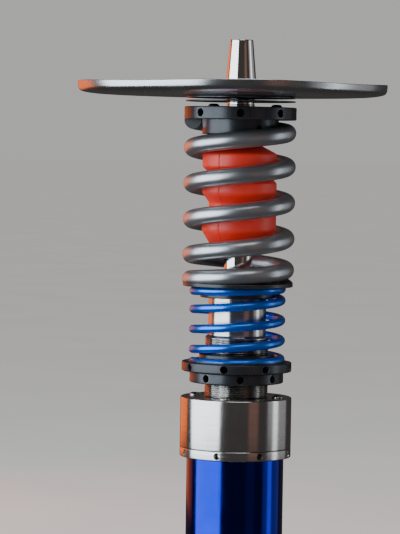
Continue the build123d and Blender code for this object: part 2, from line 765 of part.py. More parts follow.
with BuildPart() as rod_set_screws:
    with Locations((0, 0, perch_bottom + set_screw_height)):
        with PolarLocations(rod_radius + running, 3, start_angle=set_screw_angle):
            Cylinder(set_screw_radius, 9.0, rotation=(0, 90, 0), align=bottom_align)
        with PolarLocations(rod_radius + 6.5, 3, start_angle=set_screw_angle):
            Cylinder(screw_socket_radius, 4.0, rotation=(0, 90, 0), align=bottom_align, mode=Mode.SUBTRACT)
save(rod_set_screws.part, "rod_set_screws")

with BuildPart() as top_collar:
    with BuildSketch(Plane.XY.offset(main_top)):
        Circle(collar_top_radius)
    extrude(amount=collar_top_height)
    chamfer(top_collar.edges(), 0.8)
    with BuildSketch(Plane.XY.offset(main_top)):
        Circle(perch_flange_radius + slack)
    extrude(amount=perch_flange_height, mode=Mode.SUBTRACT)
    with BuildSketch(Plane.XY.offset(perch_top)):
        Circle(rod_radius + slack)
        with PolarLocations(top_screw_circle, 3, start_angle=top_screw_angle):
            Circle(screw_shank_radius + slack)
    extrude(amount=top_collar_top - perch_top, mode=Mode.SUBTRACT)
    with Locations((0, 0, main_top + collar_top_height / 2)):
        with PolarLocations(collar_top_radius - ring_hole_depth, 8, start_angle=-90.0):
            Cylinder(ring_hole_radius, hole_run_out, rotation=(0, 90, 0), align=bottom_align, mode=Mode.SUBTRACT)
save(top_collar.part, "top_collar")

with BuildPart() as top_collar_screws:
    with BuildSketch(Plane.XY.offset(main_top + 0.3)):
        with PolarLocations(top_screw_circle, 3, start_angle=top_screw_angle):
            Circle(screw_shank_radius)
    extrude(amount=collar_top_height - 0.3)
    with BuildSketch(Plane.XY.offset(top_collar_top)):
        with PolarLocations(top_screw_circle, 3, start_angle=top_screw_angle):
            Circle(screw_head_radius)
    extrude(amount=screw_head_height)
    fillet(top_collar_screws.edges().group_by(Axis.Z)[-1], 1.4)
    with BuildSketch(Plane.XY.offset(top_collar_top + screw_head_height)):
        with PolarLocations(top_screw_circle, 3, start_angle=top_screw_angle):
            RegularPolygon(screw_socket_radius, 6)
    extrude(amount=-screw_socket_depth, mode=Mode.SUBTRACT)
save(top_collar_screws.part, "top_collar_screws")

# ---------------------------------------------------------------- tray stack
with BuildPart() as drip_disc:
    with BuildSketch(Plane.XY.offset(rod_top)):
        Circle(disc_radius)
        Circle(rod_bore + 0.3, mode=Mode.SUBTRACT)
    extrude(amount=disc_thickness)
save(drip_disc.part, "drip_disc")

with BuildPart() as spacer_ring:
    with BuildSketch(Plane.XY.offset(spacer_bottom)):
        Circle(rod_radius - 0.2)
        Circle(rod_bore + 0.3, mode=Mode.SUBTRACT)
    extrude(amount=plate_bottom - spacer_bottom)
save(spacer_ring.part, "spacer_ring")

with BuildPart() as tray_plate:
    with BuildSketch(Plane.XY.offset(plate_bottom)):
        Circle(plate_radius)
        Circle(rod_bore + 0.3, mode=Mode.SUBTRACT)
    extrude(amount=plate_top - plate_bottom)
save(tray_plate.part, "tray_plate")

with BuildPart() as tray_gasket:
    with BuildSketch(Plane.XY.offset(plate_top)):
        Circle(plate_radius - 1.0)
        Circle(spigot_base_radius + 0.5, mode=Mode.SUBTRACT)
    extrude(amount=gasket_thickness)
save(tray_gasket.part, "tray_gasket")

with BuildPart() as spigot:
    with BuildSketch(Plane.XZ):
        with BuildLine():
            Polyline(
                (spigot_bore, rod_top - spigot_stub),
                (rod_bore - running, rod_top - spigot_stub),
                (rod_bore - running, plate_top),
                (spigot_base_radius, plate_top),
                (spigot_base_radius, plate_top + spigot_step),
                (spigot_tip_radius, spigot_top - 0.6),
                (spigot_tip_radius - 0.6, spigot_top),
                (spigot_bore, spigot_top),
                close=True,
            )
        make_face()
    revolve(axis=Axis.Z)
save(spigot.part, "spigot")


# ---------------------------------------------------------------- tray
def tray_outline(radius, lobe):
    """Points of a closed wavy outline, off-centre by the tray's shift."""
    points = []
    for step in range(outline_steps):
        turn = 2 * pi * step / outline_steps
        reach = radius + lobe * cos(tray_lobe_count * turn)
        points.append((tray_shift + reach * cos(turn), reach * sin(turn)))
    return points


def tray_sections(inset, lift):
    """Height, radius and lobe of each section of the dish, from its floor to its rim."""
    return [
        (tray_bottom + lift, tray_radius - 18.5 - inset, 0.3 * tray_lobe),
        (tray_bottom + 1.5 + lift, tray_radius - 10.5 - inset, 0.5 * tray_lobe),
        (tray_bottom + 5.0 + lift, tray_radius - 4.0 - inset, 0.8 * tray_lobe),
        (tray_bottom + tray_depth, tray_radius - inset, tray_lobe),
    ]


with BuildPart() as tray:
    for height, radius, lobe in tray_sections(0.0, 0.0):
        with BuildSketch(Plane.XY.offset(height)):
            with BuildLine():
                Spline(*tray_outline(radius, lobe), periodic=True)
            make_face()
    loft()
    for height, radius, lobe in tray_sections(tray_wall, tray_wall):
        with BuildSketch(Plane.XY.offset(height)):
            with BuildLine():
                Spline(*tray_outline(radius, lobe), periodic=True)
            make_face()
    loft(mode=Mode.SUBTRACT)
    with BuildSketch(Plane.XY.offset(tray_bottom)):
        Circle(spigot_base_radius + 0.5)
    extrude(amount=tray_depth, mode=Mode.SUBTRACT)
save(tray.part, "tray")
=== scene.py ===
"""Looks of the coilover-style water-pipe column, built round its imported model.  Metres, +Z up, -Y front."""
import json
from math import cos, hypot, pi, radians, sin

import bmesh
import bpy
import numpy as np
from mathutils import Euler, Matrix, Vector


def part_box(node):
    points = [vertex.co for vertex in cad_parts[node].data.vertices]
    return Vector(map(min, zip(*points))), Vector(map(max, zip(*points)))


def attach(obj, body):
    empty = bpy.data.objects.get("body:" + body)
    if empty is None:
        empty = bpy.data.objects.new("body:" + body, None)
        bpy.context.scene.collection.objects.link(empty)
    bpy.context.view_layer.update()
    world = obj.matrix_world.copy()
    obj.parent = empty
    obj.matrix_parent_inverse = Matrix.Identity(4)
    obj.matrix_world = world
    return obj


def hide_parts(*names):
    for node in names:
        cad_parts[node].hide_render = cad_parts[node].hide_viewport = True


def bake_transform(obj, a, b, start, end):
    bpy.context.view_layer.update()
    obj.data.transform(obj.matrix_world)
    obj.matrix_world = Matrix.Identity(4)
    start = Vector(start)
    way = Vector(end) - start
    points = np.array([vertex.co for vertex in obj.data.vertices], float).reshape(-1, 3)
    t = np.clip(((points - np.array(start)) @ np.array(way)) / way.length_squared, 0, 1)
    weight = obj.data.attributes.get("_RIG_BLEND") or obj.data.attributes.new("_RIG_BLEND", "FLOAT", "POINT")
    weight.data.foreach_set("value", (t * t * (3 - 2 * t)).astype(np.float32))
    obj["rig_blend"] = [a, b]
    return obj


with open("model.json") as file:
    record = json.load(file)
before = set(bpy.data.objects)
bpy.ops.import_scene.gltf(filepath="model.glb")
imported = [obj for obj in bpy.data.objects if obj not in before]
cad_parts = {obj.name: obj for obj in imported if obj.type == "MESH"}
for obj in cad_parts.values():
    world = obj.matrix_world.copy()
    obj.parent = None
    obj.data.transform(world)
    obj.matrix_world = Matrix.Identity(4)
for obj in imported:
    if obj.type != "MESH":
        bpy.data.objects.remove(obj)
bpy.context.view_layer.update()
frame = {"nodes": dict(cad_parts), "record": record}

MM = 0.001
FRONT = -90.0


def low(node):
    """Height of a node's underside."""
    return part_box(node)[0].z


def high(node):
    """Height of a node's top."""
    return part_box(node)[1].z


def span(node):
    """Heights of a node's underside and top, in millimetres."""
    return low(node) / MM, high(node) / MM


# ------------------------------------------------------------------ camera
def aim_camera():
    """Long lens from the front, level with the upper spring, nodding down and rolled a little."""
    distance = 2.03
    eye_height = 0.4648
    focal_share = 2600 / 534
    nod, turn, roll = radians(2.576), radians(0.84), radians(0.9)
    data = bpy.data.cameras.new("camera")
    data.sensor_width = 36.0
    data.lens = 36.0 * focal_share
    data.clip_start, data.clip_end = 0.1, 100.0
    camera = bpy.data.objects.new("camera", data)
    bpy.context.scene.collection.objects.link(camera)
    camera.location = (0.0, -distance, eye_height)
    facing = Euler((pi / 2 - nod, 0.0, turn), "XYZ").to_matrix()
    camera.rotation_euler = (facing @ Matrix.Rotation(roll, 3, "Z")).to_euler()
    bpy.context.scene.camera = camera


aim_camera()


# ------------------------------------------------------------------ node graphs
class Graph:
    """A node tree under construction."""

    def __init__(self, tree):
        self.tree = tree

    def node(self, kind, inputs=None, **settings):
        """Adds a node, sets its properties, and joins or sets its named inputs."""
        made = self.tree.nodes.new(kind)
        for key, value in settings.items():
            setattr(made, key, value)
        for key, value in (inputs or {}).items():
            self.feed(made.inputs[key], value)
        return made

    def feed(self, socket, value):
        """Joins a socket to another, or gives it a plain value."""
        if isinstance(value, bpy.types.NodeSocket):
            self.tree.links.new(value, socket)
        else:
            socket.default_value = value

    def give(self, node, **inputs):
        """Joins or sets a node's inputs by name, with _ for a space."""
        for key, value in inputs.items():
            self.feed(node.inputs[key.replace("_", " ")], value)

    def math(self, operation, *values):
        """A Math node's result."""
        made = self.tree.nodes.new("ShaderNodeMath")
        made.operation = operation
        for place, value in enumerate(values):
            self.feed(made.inputs[place], value)
        return made.outputs[0]

    def plus(self, first, second):
        """Their sum."""
        return self.math("ADD", first, second)

    def minus(self, first, second):
        """The first less the second."""
        return self.math("SUBTRACT", first, second)

    def times(self, first, second):
        """Their product."""
        return self.math("MULTIPLY", first, second)

    def noise(self, place, scale, **more):
        """A noise texture's value, with more of its inputs set by name."""
        return self.node("ShaderNodeTexNoise", {"Vector": place, "Scale": scale, **more}).outputs["Fac"]

    def ramp(self, value, start, end):
        """0 below start, 1 above end, straight between them."""
        made = self.node("ShaderNodeMapRange", {"Value": value, "From Min": start, "From Max": end})
        return made.outputs["Result"]

    def vector(self, x, y, z):
        """Three numbers as a vector."""
        return self.node("ShaderNodeCombineXYZ", {"X": x, "Y": y, "Z": z}).outputs[0]


def open_group(name, kind, inputs, outputs):
    """An empty node group with named sockets, as (graph, input node, output node)."""
    tree = bpy.data.node_groups.new(name, kind)
    for label, socket_type, default in inputs:
        socket = tree.interface.new_socket(name=label, in_out="INPUT", socket_type=socket_type)
        if default is not None:
            socket.default_value = default
    for label, socket_type in outputs:
        tree.interface.new_socket(name=label, in_out="OUTPUT", socket_type=socket_type)
    graph = Graph(tree)
    return graph, graph.node("NodeGroupInput"), graph.node("NodeGroupOutput")


def open_effect(name, inputs, outputs):
    """An empty shader group whose sockets are all numbers."""
    given = [(label, "NodeSocketFloat", default) for label, default in inputs.items()]
    return open_group(name, "ShaderNodeTree", given, [(label, "NodeSocketFloat") for label in outputs])


# ------------------------------------------------------------------ shared surface effects
def make_brushing():
    """Fine lines round the axis: a height for the bump and a mask for the roughness."""
    graph, given, result = open_effect("brushing", {"Lines": 4000.0, "Length": 30.0}, ["Height", "Mask"])
    place = graph.node("ShaderNodeTexCoord").outputs["Object"]
    parts = graph.node("ShaderNodeSeparateXYZ", {"Vector": place})
    around = [graph.times(parts.outputs[axis], given.outputs["Length"]) for axis in ("X", "Y")]
    along = graph.times(parts.outputs["Z"], given.outputs["Lines"])
    stretched = graph.vector(around[0], around[1], along)
    fine = graph.noise(stretched, 1.0, Detail=3.0, Roughness=0.6)
    wide = graph.noise(stretched, 0.13, Detail=2.0)
    both = graph.plus(fine, graph.times(wide, 0.6))
    graph.give(result, Height=both, Mask=graph.ramp(both, 0.55, 1.05))
    return graph.tree


def make_grain():
    """Close even grain, as of blasting, moulding or a cured coating, with soft clouds over it."""
    made = ["Height", "Clouds", "Specks"]
    graph, given, result = open_effect("grain", {"Size": 900.0, "Clouds": 14.0}, made)
    place = graph.node("ShaderNodeTexCoord").outputs["Object"]
    fine = graph.noise(place, given.outputs["Size"], Detail=4.0)
    cloud = graph.noise(place, given.outputs["Clouds"], Detail=5.0)
    spacing = graph.times(given.outputs["Size"], 0.3)
    speck = graph.node("ShaderNodeTexVoronoi", {"Vector": place, "Scale": spacing}).outputs["Distance"]
    graph.give(result, Height=fine, Clouds=graph.ramp(cloud, 0.35, 0.65))
    graph.give(result, Specks=graph.ramp(speck, 0.16, 0.04))
    return graph.tree


def make_wear_and_shade():
    """A broken mask along edges, where a finish rubs thin, and a mask from ambient occlusion in corners and
    recesses, for painted shade.
    """
    graph, given, result = open_effect("edge_wear", {"Width": 0.0006, "Amount": 1.0}, ["Mask", "Recess"])
    rounded = graph.node("ShaderNodeBevel", {"Radius": given.outputs["Width"]}, samples=4)
    plain = graph.node("ShaderNodeNewGeometry").outputs["Normal"]
    likeness = graph.node(
        "ShaderNodeVectorMath", {0: rounded.outputs["Normal"], 1: plain}, operation="DOT_PRODUCT"
    ).outputs["Value"]
    bent = graph.ramp(likeness, 0.995, 0.93)
    place = graph.node("ShaderNodeTexCoord").outputs["Object"]
    patchy = graph.ramp(graph.noise(place, 260.0, Detail=4.0), 0.42, 0.62)
    worn = graph.times(graph.times(bent, patchy), given.outputs["Amount"])
    # Painted shade: ambient occlusion gives a mask that darkens corners and recesses, where shade falls.
    shelter = graph.node("ShaderNodeAmbientOcclusion", {"Distance": 0.0025}, samples=6).outputs["AO"]
    graph.give(result, Mask=worn, Recess=graph.ramp(shelter, 0.7, 0.15))
    return graph.tree


def make_handling():
    """Faint smears and fine straight scratches left by hands and cloths."""
    effects = {"Smears": 22.0, "Scratches": 700.0}
    graph, given, result = open_effect("handling", effects, list(effects))
    place = graph.node("ShaderNodeTexCoord").outputs["Object"]
    smear = graph.noise(place, given.outputs["Smears"], Detail=6.0, Roughness=0.65, Distortion=0.8)
    turning, stretch = (0.5, 0.3, 0.2), (1.0, 1.0, 0.03)
    slanted = graph.node("ShaderNodeMapping", {"Vector": place, "Rotation": turning, "Scale": stretch})
    line = graph.noise(slanted.outputs[0], given.outputs["Scratches"], Detail=1.0)
    graph.give(result, Smears=graph.ramp(smear, 0.45, 0.75), Scratches=graph.ramp(line, 0.66, 0.74))
    return graph.tree


BRUSHING = make_brushing()
GRAIN = make_grain()
WEAR_AND_SHADE = make_wear_and_shade()
HANDLING = make_handling()


# ------------------------------------------------------------------ materials
def start_material(name):
    """A new material with its graph and its Principled shader."""
    material = bpy.data.materials.new(name)
    material.use_nodes = True
    graph = Graph(material.node_tree)
    return material, graph, material.node_tree.nodes["Principled BSDF"]


def use_group(graph, tree, **inputs):
    """Places a shared effect in a material with its own values."""
    made = graph.node("ShaderNodeGroup", node_tree=tree)
    graph.give(made, **inputs)
    return made.outputs


def blend_colour(graph, share, first, second):
    """Mixes two colours by a mask."""
    made = graph.node("ShaderNodeMix", data_type="RGBA")
    graph.feed(made.inputs["Factor"], share)
    graph.feed(made.inputs[6], (*first, 1.0) if isinstance(first, tuple) else first)
    graph.feed(made.inputs[7], (*second, 1.0) if isinstance(second, tuple) else second)
    return made.outputs[2]


def between(graph, share, first, second):
    """Mixes two numbers by a mask."""
    made = graph.node("ShaderNodeMapRange", {"Value": share, "To Min": first, "To Max": second})
    return made.outputs["Result"]


def bump(graph, height, strength, depth):
    """A bumped normal from a height."""
    made = graph.node("ShaderNodeBump", {"Strength": strength, "Distance": depth, "Height": height})
    return made.outputs["Normal"]


# Near-black colour of the painted shade blended into the recesses of bare metal.
PAINTED_SHADE_DARK = (0.03, 0.028, 0.026)


def darker(colour, share):
    """The same colour at a share of its brightness."""
    return tuple(share * part for part in colour)


def brushed_metal(name, colour, dull, roughness, lines=4000.0, depth=0.000004, strength=0.25, painted_shade=1.0):
    """Bare metal with lines left round the axis by a lathe or a brush, and painted shade darkening its
    recesses.
    """
    material, graph, shader = start_material(name)
    lined = use_group(graph, BRUSHING, Lines=lines)
    handled = use_group(graph, HANDLING)
    edges = use_group(graph, WEAR_AND_SHADE)
    toned = blend_colour(graph, lined["Mask"], dull, colour)
    scratched = blend_colour(graph, handled["Scratches"], toned, colour)
    # Painted shade: the occlusion mask, scaled by the shade strength, blends in a near-black colour in
    # corners and recesses.
    shaded_colour = blend_colour(graph, graph.times(edges["Recess"], painted_shade), scratched, PAINTED_SHADE_DARK)
    round_the_axis = graph.node("ShaderNodeTangent", direction_type="RADIAL", axis="Z").outputs[0]
    graph.give(shader, Metallic=1.0, Anisotropic=0.75, Anisotropic_Rotation=0.25, Tangent=round_the_axis)
    rough = graph.plus(between(graph, lined["Mask"], roughness * 1.25, roughness * 0.8),
                       graph.times(handled["Smears"], 0.07))
    relief = bump(graph, lined["Height"], strength, depth)
    graph.give(shader, Base_Color=shaded_colour, Roughness=rough, Normal=relief)
    return material


def mirror_metal(name, colour, roughness):
    """Polished or plated metal: near mirror, with smears and the finest scratches."""
    material, graph, shader = start_material(name)
    handled = use_group(graph, HANDLING, Smears=30.0)
    grained = use_group(graph, GRAIN, Size=500.0, Clouds=20.0)
    clouded = blend_colour(graph, grained["Clouds"], colour, darker(colour, 0.93))
    worn = graph.plus(graph.times(handled["Smears"], 0.08), graph.times(handled["Scratches"], 0.1))
    relief = bump(graph, grained["Height"], 0.03, 0.000004)
    graph.give(shader, Base_Color=clouded, Metallic=1.0, Roughness=graph.plus(worn, roughness), Normal=relief)
    return material


def anodised(name, colour, deep, bare, roughness, metallic, wear):
    """Dyed aluminium oxide, clouded a little, rubbed through along its edges, with painted shade in its
    corners and recesses.
    """
    material, graph, shader = start_material(name)
    grained = use_group(graph, GRAIN, Size=1400.0, Clouds=18.0)
    handled = use_group(graph, HANDLING)
    worn = use_group(graph, WEAR_AND_SHADE, Amount=wear)
    dyed = blend_colour(graph, grained["Clouds"], colour, deep)
    rubbed = blend_colour(graph, worn["Mask"], dyed, bare)
    # Painted shade: the occlusion mask darkens corners and recesses towards a third of the deep dye colour.
    shaded_colour = blend_colour(graph, worn["Recess"], rubbed, darker(deep, 0.3))
    smeared = graph.plus(graph.times(handled["Smears"], 0.09), roughness)
    rough = graph.plus(smeared, graph.times(handled["Scratches"], 0.06))
    relief = bump(graph, grained["Height"], 0.08, 0.00001)
    graph.give(shader, Base_Color=shaded_colour, Metallic=metallic, Roughness=rough, Normal=relief)
    return material


def spring_coat(name, colour, shade, roughness, metallic, coat, coat_roughness):
    """Metallic powder coat with flake, orange peel and a clear layer."""
    material, graph, shader = start_material(name)
    grained = use_group(graph, GRAIN, Size=700.0, Clouds=35.0)
    flakes = use_group(graph, GRAIN, Size=6000.0, Clouds=60.0)
    handled = use_group(graph, HANDLING, Smears=40.0)
    body = blend_colour(graph, grained["Clouds"], colour, shade)
    bright = tuple(min(1.0, 1.3 * part + 0.02) for part in colour)
    flaked = blend_colour(graph, graph.times(flakes["Specks"], 0.5), body, bright)
    rough = graph.plus(graph.times(handled["Smears"], 0.08), roughness)
    relief = bump(graph, grained["Height"], 0.12, 0.00003)
    graph.give(shader, Base_Color=flaked, Metallic=metallic, Roughness=rough, Normal=relief)
    graph.give(shader, Coat_Weight=coat, Coat_Roughness=coat_roughness)
    return material


def soft_moulding(name, colour, shade, roughness, sheen, sink):
    """Moulded rubber, polyurethane or plastic: fine skin, pale dust specks, painted shade in the hollows, a
    soft gloss.
    """
    material, graph, shader = start_material(name)
    grained = use_group(graph, GRAIN, Size=800.0, Clouds=45.0)
    handled = use_group(graph, HANDLING, Smears=35.0)
    body = blend_colour(graph, grained["Clouds"], colour, shade)
    pale = tuple(min(1.0, part * 0.8 + 0.05) for part in colour)
    dusty = blend_colour(graph, graph.times(grained["Specks"], 0.25), body, pale)
    # Painted shade: the occlusion mask darkens hollows and corners towards a quarter of the shade colour.
    painted_shade_mask = use_group(graph, WEAR_AND_SHADE)["Recess"]
    shaded_colour = blend_colour(graph, painted_shade_mask, dusty, darker(shade, 0.25))
    rough = graph.plus(between(graph, handled["Smears"], 0.0, 0.14), roughness)
    relief = bump(graph, grained["Height"], 0.25, 0.00004)
    graph.give(shader, Base_Color=shaded_colour, Roughness=rough, Normal=relief, Sheen_Weight=sheen)
    graph.give(shader, Subsurface_Weight=sink, Subsurface_Radius=(0.004, 0.001, 0.0006), Subsurface_Scale=1.0)
    return material


FINISHES = [
    (soft_moulding, "rubber_black", dict(
        colour=(0.018, 0.018, 0.02), shade=(0.03, 0.03, 0.031), roughness=0.55, sheen=0.1, sink=0.0)),
    (soft_moulding, "plastic_white", dict(
        colour=(0.8, 0.8, 0.78), shade=(0.72, 0.72, 0.69), roughness=0.4, sheen=0.0, sink=0.0)),
    (soft_moulding, "elastomer_red", dict(
        colour=(0.72, 0.028, 0.012), shade=(0.6, 0.02, 0.009), roughness=0.36, sheen=0.05, sink=0.12)),
    (brushed_metal, "steel_satin", dict(
        colour=(0.56, 0.57, 0.58), dull=(0.45, 0.46, 0.47), roughness=0.3, lines=2500.0)),
    (brushed_metal, "steel_brushed", dict(
        colour=(0.7, 0.7, 0.69), dull=(0.6, 0.6, 0.59), roughness=0.2, depth=0.000003)),
    # The polished steel takes painted shade in its recesses at 2.5 times the usual strength.
    (brushed_metal, "steel_polished", dict(
        colour=(0.7, 0.7, 0.685), dull=(0.62, 0.615, 0.6), roughness=0.22, strength=0.12, painted_shade=2.5)),
    (brushed_metal, "screw_steel", dict(
        colour=(0.6, 0.6, 0.6), dull=(0.45, 0.45, 0.45), roughness=0.25, lines=3000.0)),
    (brushed_metal, "alloy_plain", dict(
        colour=(0.72, 0.73, 0.74), dull=(0.58, 0.59, 0.6), roughness=0.28, lines=2000.0)),
    (brushed_metal, "bronze", dict(
        colour=(0.62, 0.42, 0.2), dull=(0.5, 0.33, 0.15), roughness=0.3)),
    (mirror_metal, "steel_mirror", dict(colour=(0.82, 0.82, 0.81), roughness=0.04)),
    (mirror_metal, "chrome_rod", dict(colour=(0.78, 0.775, 0.76), roughness=0.06)),
    (anodised, "screw_black", dict(
        colour=(0.03, 0.03, 0.033), deep=(0.02, 0.02, 0.022), bare=(0.3, 0.3, 0.3),
        roughness=0.3, metallic=0.6, wear=0.5)),
    (anodised, "anodised_blue", dict(
        colour=(0.006, 0.02, 0.42), deep=(0.004, 0.012, 0.35), bare=(0.3, 0.35, 0.8),
        roughness=0.12, metallic=1.0, wear=0.1)),
    (anodised, "anodised_black", dict(
        colour=(0.06, 0.065, 0.075), deep=(0.045, 0.05, 0.058), bare=(0.45, 0.45, 0.46),
        roughness=0.27, metallic=0.75, wear=0.55)),
    (spring_coat, "coat_blue", dict(
        colour=(0.002, 0.19, 0.86), shade=(0.002, 0.13, 0.74), roughness=0.3, metallic=0.85,
        coat=0.5, coat_roughness=0.12)),
    (spring_coat, "coat_silver", dict(
        colour=(0.56, 0.59, 0.63), shade=(0.47, 0.5, 0.54), roughness=0.33, metallic=0.95,
        coat=0.3, coat_roughness=0.25)),
    (spring_coat, "tray_metal", dict(
        colour=(0.6, 0.63, 0.66), shade=(0.52, 0.55, 0.58), roughness=0.24, metallic=1.0,
        coat=0.1, coat_roughness=0.15)),
]
FINISH = {name: maker(name, **values) for maker, name, values in FINISHES}


# ------------------------------------------------------------------ making pieces
def add_piece(name, mesh, finish, body, stands_for=None):
    """Links a mesh as a finished piece on its body, with its finish and the node it stands for."""
    piece = bpy.data.objects.new(name, mesh)
    bpy.context.scene.collection.objects.link(piece)
    mesh.materials.clear()
    mesh.materials.append(FINISH[finish])
    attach(piece, body)
    if stands_for:
        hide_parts(stands_for)
    return piece


def smooth_faces(mesh, sharp=32.0):
    """Smooth shading with true corners kept."""
    mesh.polygons.foreach_set("use_smooth", np.ones(len(mesh.polygons), bool))
    mesh.set_sharp_from_angle(angle=radians(sharp))


def soften(outline, steps=4):
    """Rounds the corners of a closed outline of (radius, height, corner radius) points."""
    rounded = []
    for place, (r, z, corner) in enumerate(outline):
        here = Vector((r, z))
        before = Vector(outline[place - 1][:2]) - here
        after = Vector(outline[(place + 1) % len(outline)][:2]) - here
        if corner <= 0.0:
            rounded.append((here.x, here.y))
            continue
        reach = min(corner, 0.48 * before.length, 0.48 * after.length)
        start = here + before.normalized() * reach
        end = here + after.normalized() * reach
        for step in range(steps + 1):
            t = step / steps
            point = (1 - t) ** 2 * start + 2 * t * (1 - t) * here + t * t * end
            rounded.append((point.x, point.y))
    return rounded


def wrap_faces(segments, count):
    """Faces of a closed outline of count points, carried round the axis in segments steps."""
    faces = []
    for turn in range(segments):
        here, ahead = turn * count, (turn + 1) % segments * count
        for row in range(count):
            following = (row + 1) % count
            faces.append((here + row, ahead + row, ahead + following, here + following))
    return faces


def turned(name, outline, segments=192):
    """A lathe-turned solid from a closed outline in millimetres; points on the axis close its poles."""
    points = soften(outline)
    turns = np.arange(segments) * 2 * pi / segments
    rows = np.array(points) * MM
    vertices = np.stack(
        [
            np.outer(np.cos(turns), rows[:, 0]),
            np.outer(np.sin(turns), rows[:, 0]),
            np.outer(np.ones(segments), rows[:, 1]),
        ],
        axis=2,
    ).reshape(-1, 3)
    mesh = bpy.data.meshes.new(name)
    mesh.from_pydata(vertices.tolist(), [], wrap_faces(segments, len(points)))
    clean(mesh)
    smooth_faces(mesh)
    return mesh


def clean(mesh, gap=1e-7):
    """Merges doubled points and turns the faces outwards."""
    work = bmesh.new()
    work.from_mesh(mesh)
    bmesh.ops.remove_doubles(work, verts=work.verts, dist=gap)
    bmesh.ops.dissolve_degenerate(work, edges=work.edges, dist=gap)
    bmesh.ops.recalc_face_normals(work, faces=work.faces)
    work.to_mesh(mesh)
    work.free()


def box_outline(inner, outer, bottom, top, corner=0.4, inner_corner=0.3):
    """Outline of a plain ring, with its corners rounded."""
    return [
        (inner, bottom, inner_corner),
        (outer, bottom, corner),
        (outer, top, corner),
        (inner, top, inner_corner),
    ]


def run_tree(name, tree, mesh=None, **inputs):
    """Runs a geometry tree once, with its inputs set by name, and returns the plain mesh it makes."""
    carrier = bpy.data.objects.new(name, mesh or bpy.data.meshes.new(name))
    bpy.context.scene.collection.objects.link(carrier)
    modifier = carrier.modifiers.new("making", "NODES")
    modifier.node_group = tree
    for item in tree.interface.items_tree:
        key = item.name.replace(" ", "_")
        if item.item_type == "SOCKET" and item.in_out == "INPUT" and key in inputs:
            modifier[item.identifier] = inputs[key]
    carrier.update_tag()
    bpy.context.view_layer.update()
    graph = bpy.context.evaluated_depsgraph_get()
    done = carrier.evaluated_get(graph)
    made = bpy.data.meshes.new_from_object(done, preserve_all_data_layers=True, depsgraph=graph)
    carrier.modifiers.remove(modifier)
    bpy.data.objects.remove(carrier)
    made.name = name
    return made


# ------------------------------------------------------------------ geometry trees
def finish_tree(graph, geometry, value, result):
    """Ends a geometry tree: gives what it made its material and puts it out."""
    painted = graph.node("GeometryNodeSetMaterial", {"Geometry": geometry, "Material": value["Material"]})
    graph.feed(result.inputs[0], painted.outputs[0])


def make_coil_tree():
    """A coil spring whose pitch eases from closed ends to open middle, cut flat above and below."""
    numbers = {
        "Mean Radius": 0.03, "Wire Radius": 0.003, "Turns": 5.0, "Start Angle": 0.0, "Start Height": 0.0,
        "Bottom Pitch": 0.004, "Middle Pitch": 0.015, "Top Pitch": 0.004,
        "Bottom Rest": 0.3, "Bottom Ease": 0.5, "Top Rest": 0.3, "Top Ease": 0.5,
        "Bottom": 0.0, "Top": 0.1,
    }
    inputs = [(label, "NodeSocketFloat", default) for label, default in numbers.items()]
    inputs += [("Sections", "NodeSocketInt", 400), ("Material", "NodeSocketMaterial", None)]
    graph, given, result = open_group(
        "coil_spring", "GeometryNodeTree", inputs, [("Geometry", "NodeSocketGeometry")]
    )
    value = given.outputs
    line = graph.node("GeometryNodeCurvePrimitiveLine", {"End": (0.0, 0.0, 1.0)})
    fine = graph.node("GeometryNodeResampleCurve", {"Curve": line.outputs[0], "Count": value["Sections"]})
    share = graph.node("GeometryNodeSplineParameter").outputs["Factor"]
    turn = graph.times(share, value["Turns"])

    def eased(start, ease):
        """Turns run since a ramp of pitch began: none before it, half rate within it, full after it."""
        run = graph.math("MAXIMUM", graph.minus(turn, start), 0.0)
        inside = graph.math("MINIMUM", run, ease)
        curve = graph.math("DIVIDE", graph.times(inside, inside), graph.times(ease, 2.0))
        return graph.plus(curve, graph.minus(run, inside))

    closing = graph.minus(graph.minus(value["Turns"], value["Top Rest"]), value["Top Ease"])
    opened = graph.times(eased(value["Bottom Rest"], value["Bottom Ease"]),
                         graph.minus(value["Middle Pitch"], value["Bottom Pitch"]))
    closed = graph.times(eased(closing, value["Top Ease"]),
                         graph.minus(value["Middle Pitch"], value["Top Pitch"]))
    rise = graph.minus(graph.plus(graph.times(turn, value["Bottom Pitch"]), opened), closed)
    height = graph.plus(rise, value["Start Height"])
    angle = graph.plus(graph.times(turn, 2 * pi), value["Start Angle"])
    x = graph.times(graph.math("COSINE", angle), value["Mean Radius"])
    y = graph.times(graph.math("SINE", angle), value["Mean Radius"])
    spiral = graph.vector(x, y, height)
    wound = graph.node("GeometryNodeSetPosition", {"Geometry": fine.outputs[0], "Position": spiral})
    lifted = graph.node(
        "GeometryNodeStoreNamedAttribute",
        {"Geometry": wound.outputs[0], "Name": "lift"},
        data_type="FLOAT",
        domain="POINT",
    )
    graph.feed(lifted.inputs["Value"], graph.ramp(height, value["Bottom"], value["Top"]))
    section = graph.node("GeometryNodeCurvePrimitiveCircle", {"Resolution": 40})
    graph.give(section, Radius=value["Wire Radius"])
    wire = graph.node(
        "GeometryNodeCurveToMesh",
        {"Curve": lifted.outputs[0], "Profile Curve": section.outputs[0], "Fill Caps": True},
    )
    point = graph.node("GeometryNodeInputPosition").outputs[0]
    place = graph.node("ShaderNodeSeparateXYZ", {"Vector": point})
    level = graph.math("MINIMUM", graph.math("MAXIMUM", place.outputs["Z"], value["Bottom"]), value["Top"])
    kept = graph.vector(place.outputs["X"], place.outputs["Y"], level)
    ground = graph.node("GeometryNodeSetPosition", {"Geometry": wire.outputs[0], "Position": kept})
    finish_tree(graph, ground.outputs[0], value, result)
    return graph.tree


